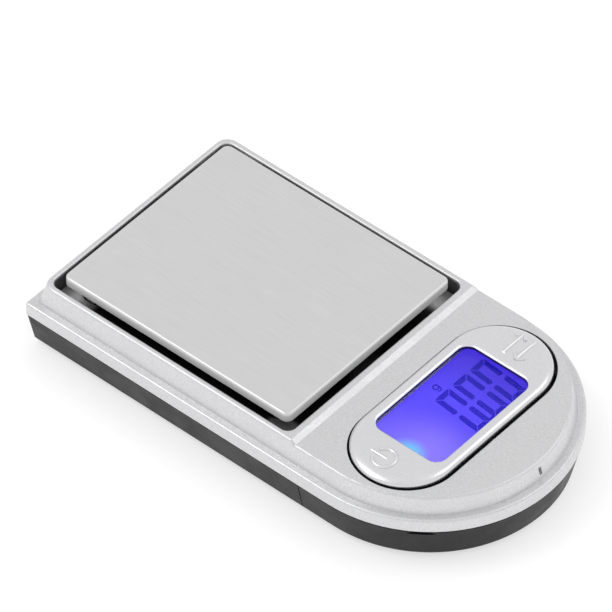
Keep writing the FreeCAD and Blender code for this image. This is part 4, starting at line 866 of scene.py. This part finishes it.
def key_cap(material, dark_wall_and_shade_material):
    """The silver key: a cushioned frame with dark sides, partly its own dark plastic and partly painted
    shade in the gaps round it, on the CAD key's own legs, ears and pins.
    """
    middle_y, radius, half_run = key_plan()
    middle = Vector((0.0, middle_y, 0.0))
    side_x, side_y = opening_sides()
    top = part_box("rocker_key")[1].z
    under = top - KEY_THICKNESS
    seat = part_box("display_window")[1].z
    levels = (under, top - KEY_EDGE_DROP, top, top - SILL_DROP, seat)
    mesh = bmesh.new()
    mesh.from_mesh(frame["nodes"]["rocker_key"].data)
    # What hangs under the CAD key's top stays.  Its legs are left open where they meet the cap.
    above = [v for v in mesh.verts if v.co.z > under + TINY]
    bmesh.ops.delete(mesh, geom=above, context="VERTS")
    flat = [f for f in mesh.faces if all(v.co.z > under - TINY for v in f.verts)]
    bmesh.ops.delete(mesh, geom=flat, context="FACES")
    rings = []
    for point, outward in opening_outline(side_x, side_y):
        width = reach_to_edge(point, outward, radius, half_run)
        section = key_section(point, outward, width, levels)
        rings.append([mesh.verts.new(middle + Vector(place)) for place in section])
    # The outer side and the sill's wall take the dark plastic: partly the key's own dark sides, partly
    # painted shade in the gaps round the key.
    outer_side = 0
    inner_side = len(rings[0]) - SEAT_CORNERS - 1
    for i, ring in enumerate(rings):
        after = rings[(i + 1) % len(rings)]
        for k, corner in enumerate(ring):
            n = (k + 1) % len(ring)
            face = mesh.faces.new((corner, ring[n], after[n], after[k]))
            face.material_index = int(k in (outer_side, inner_side))
    cap = add_piece("key_cap", mesh, material, "key")
    cap.data.materials.append(dark_wall_and_shade_material)
    smooth(cap)
    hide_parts("rocker_key")
    return cap


# ---- raised signs on the key --------------------------------------------------------------

SIGN_RADIUS = 0.27 * MM
SIGN_SIDES = 10
SIGN_SINK = 0.1
POWER_INSET = 3.3 * MM
POWER_RISE = 0.25 * MM
POWER_RADIUS = 1.55 * MM
POWER_BAR_TOP = 2.1 * MM
POWER_BAR_FOOT = 0.4 * MM
SWAP_INSET = 3.2 * MM
SWAP_DROP = 0.3 * MM
ARROW_SPREAD = 1.0 * MM
ARROW_HALF = 2.1 * MM
ARROW_HEAD = 0.9 * MM


def raised_line(mesh, tree, path):
    """A rounded ridge along a path, a little over half of it sunk in the surface below it."""
    sink = SIGN_SINK * SIGN_RADIUS
    points = [Vector((x, y, height_at(tree, x, y) - sink)) for x, y in path]
    last = len(points) - 1
    rings = []
    for i, here in enumerate(points):
        along = (points[min(i + 1, last)] - points[max(i - 1, 0)]).normalized()
        side = along.cross(Vector((0, 0, 1))).normalized()
        up = side.cross(along)
        ring = []
        for k in range(SIGN_SIDES):
            angle = 2 * math.pi * k / SIGN_SIDES
            outward = side * math.cos(angle) + up * math.sin(angle)
            ring.append(mesh.verts.new(here + outward * SIGN_RADIUS))
        rings.append(ring)
    for ring, after in zip(rings, rings[1:]):
        for k in range(SIGN_SIDES):
            n = (k + 1) % SIGN_SIDES
            mesh.faces.new((ring[k], ring[n], after[n], after[k]))
    mesh.faces.new(rings[0][::-1])
    mesh.faces.new(rings[-1])


def straight_path(start, end, steps=8):
    """Evenly spaced points between two places."""
    a, b = Vector(start), Vector(end)
    return [tuple(a.lerp(b, i / steps)) for i in range(steps + 1)]


def power_sign(tree, material):
    """A broken ring with a bar through the break, at the left end of the key."""
    low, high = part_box("rocker_key")
    x, y = low.x + POWER_INSET, (low.y + high.y) / 2 + POWER_RISE
    ring = circle_path(x, y, POWER_RADIUS, start=115, end=425, steps=40)
    bar = straight_path((x, y + POWER_BAR_TOP), (x, y - POWER_BAR_FOOT))
    mesh = bmesh.new()
    raised_line(mesh, tree, ring)
    raised_line(mesh, tree, bar)
    smooth(add_piece("power_sign", mesh, material, "key"))


def arrow_paths(x, y, way):
    """A straight arrow and the two strokes of its head, pointing along +X or -X."""
    tip = (x + way * ARROW_HALF, y)
    barb = x + way * (ARROW_HALF - ARROW_HEAD)
    return [
        straight_path((x - way * ARROW_HALF, y), tip),
        straight_path(tip, (barb, y + ARROW_HEAD), steps=4),
        straight_path(tip, (barb, y - ARROW_HEAD), steps=4),
    ]


def swap_sign(tree, material):
    """Two arrows, one each way, for the key end that changes the unit."""
    low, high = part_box("rocker_key")
    x, y = high.x - SWAP_INSET, (low.y + high.y) / 2 - SWAP_DROP
    mesh = bmesh.new()
    for way in (1, -1):
        for path in arrow_paths(x, y + way * ARROW_SPREAD, way):
            raised_line(mesh, tree, path)
    smooth(add_piece("swap_sign", mesh, material, "key"))


# ---- studio -------------------------------------------------------------------------------

# The camera's place was solved from straight edges and arcs in the photograph.
CAMERA_AIM = Vector((-2.6, 2.8, 15.9)) * MM
CAMERA_AZIMUTH = math.radians(-49.32)
CAMERA_ELEVATION = math.radians(45.85)
CAMERA_DISTANCE = 1.0193
CAMERA_LENS = 470.6
CAMERA_SENSOR = 36.0
FLOOR_HALF = 3.0
FLOOR_GREY = (0.5, 0.5, 0.5)
FLOOR_GLOW = 0.58
SKY_STRENGTH = 0.86
SOFTBOX_DISTANCE = 1.2


def direction(azimuth, elevation):
    """The unit vector from the object towards a place round it; azimuth 0 is the front."""
    level = math.cos(elevation)
    return Vector((math.sin(azimuth) * level, -math.cos(azimuth) * level, math.sin(elevation)))


def floor():
    """A plain pale sheet under the scale that glows a little."""
    finish = Finish("studio_floor", FLOOR_GREY, roughness=0.9)
    finish.roughness(finish.noise(size=40.0), 0.85, 0.95)
    finish.glow(WHITE, FLOOR_GLOW)
    mesh = bpy.data.meshes.new("studio_floor")
    corners = [(-1, -1), (1, -1), (1, 1), (-1, 1)]
    mesh.from_pydata([(x * FLOOR_HALF, y * FLOOR_HALF, 0) for x, y in corners], [], [(0, 1, 2, 3)])
    mesh.materials.append(finish.material)
    sheet = bpy.data.objects.new("studio_floor", mesh)
    bpy.context.scene.collection.objects.link(sheet)


def softbox(name, azimuth, elevation, size, power):
    """A large square lamp that faces the scale, with its angles in degrees."""
    lamp = bpy.data.lights.new(name, "AREA")
    lamp.shape = "SQUARE"
    lamp.size = size
    lamp.energy = power
    holder = bpy.data.objects.new(name, lamp)
    towards = direction(math.radians(azimuth), math.radians(elevation))
    holder.location = towards * SOFTBOX_DISTANCE
    holder.rotation_euler = towards.to_track_quat("Z", "Y").to_euler()
    bpy.context.scene.collection.objects.link(holder)


def sky():
    """Even light from all round the studio."""
    world = bpy.data.worlds.new("studio")
    world.use_nodes = True
    background = world.node_tree.nodes["Background"]
    background.inputs["Color"].default_value = WHITE
    background.inputs["Strength"].default_value = SKY_STRENGTH
    bpy.context.scene.world = world


def camera():
    """The camera, to the front left and above."""
    lens = bpy.data.cameras.new("camera")
    lens.lens = CAMERA_LENS
    lens.sensor_width = CAMERA_SENSOR
    holder = bpy.data.objects.new("camera", lens)
    back = direction(CAMERA_AZIMUTH, CAMERA_ELEVATION)
    right = Vector((math.cos(CAMERA_AZIMUTH), math.sin(CAMERA_AZIMUTH), 0.0))
    up = back.cross(right)
    turn = Matrix((right, up, back)).transposed().to_4x4()
    holder.matrix_world = Matrix.Translation(CAMERA_AIM + back * CAMERA_DISTANCE) @ turn
    bpy.context.scene.collection.objects.link(holder)
    bpy.context.scene.camera = holder


def studio():
    """Everything round the scale that isn't part of it."""
    bpy.context.scene.view_settings.view_transform = "Standard"
    sky()
    floor()
    softbox("back_left", azimuth=218.0, elevation=55.0, size=0.5, power=2.2)
    softbox("right", azimuth=60.0, elevation=52.0, size=0.7, power=1.1)
    camera()


# ---- build --------------------------------------------------------------------------------

finishes = paint_nodes()
ink = lcd_ink()
display_figures(ink)
unit_letter(ink)
key_surface = surface(key_cap(finishes["key_silver"], finishes["black_plastic"]))
power_sign(key_surface, finishes["key_silver"])
swap_sign(key_surface, finishes["key_silver"])
studio()
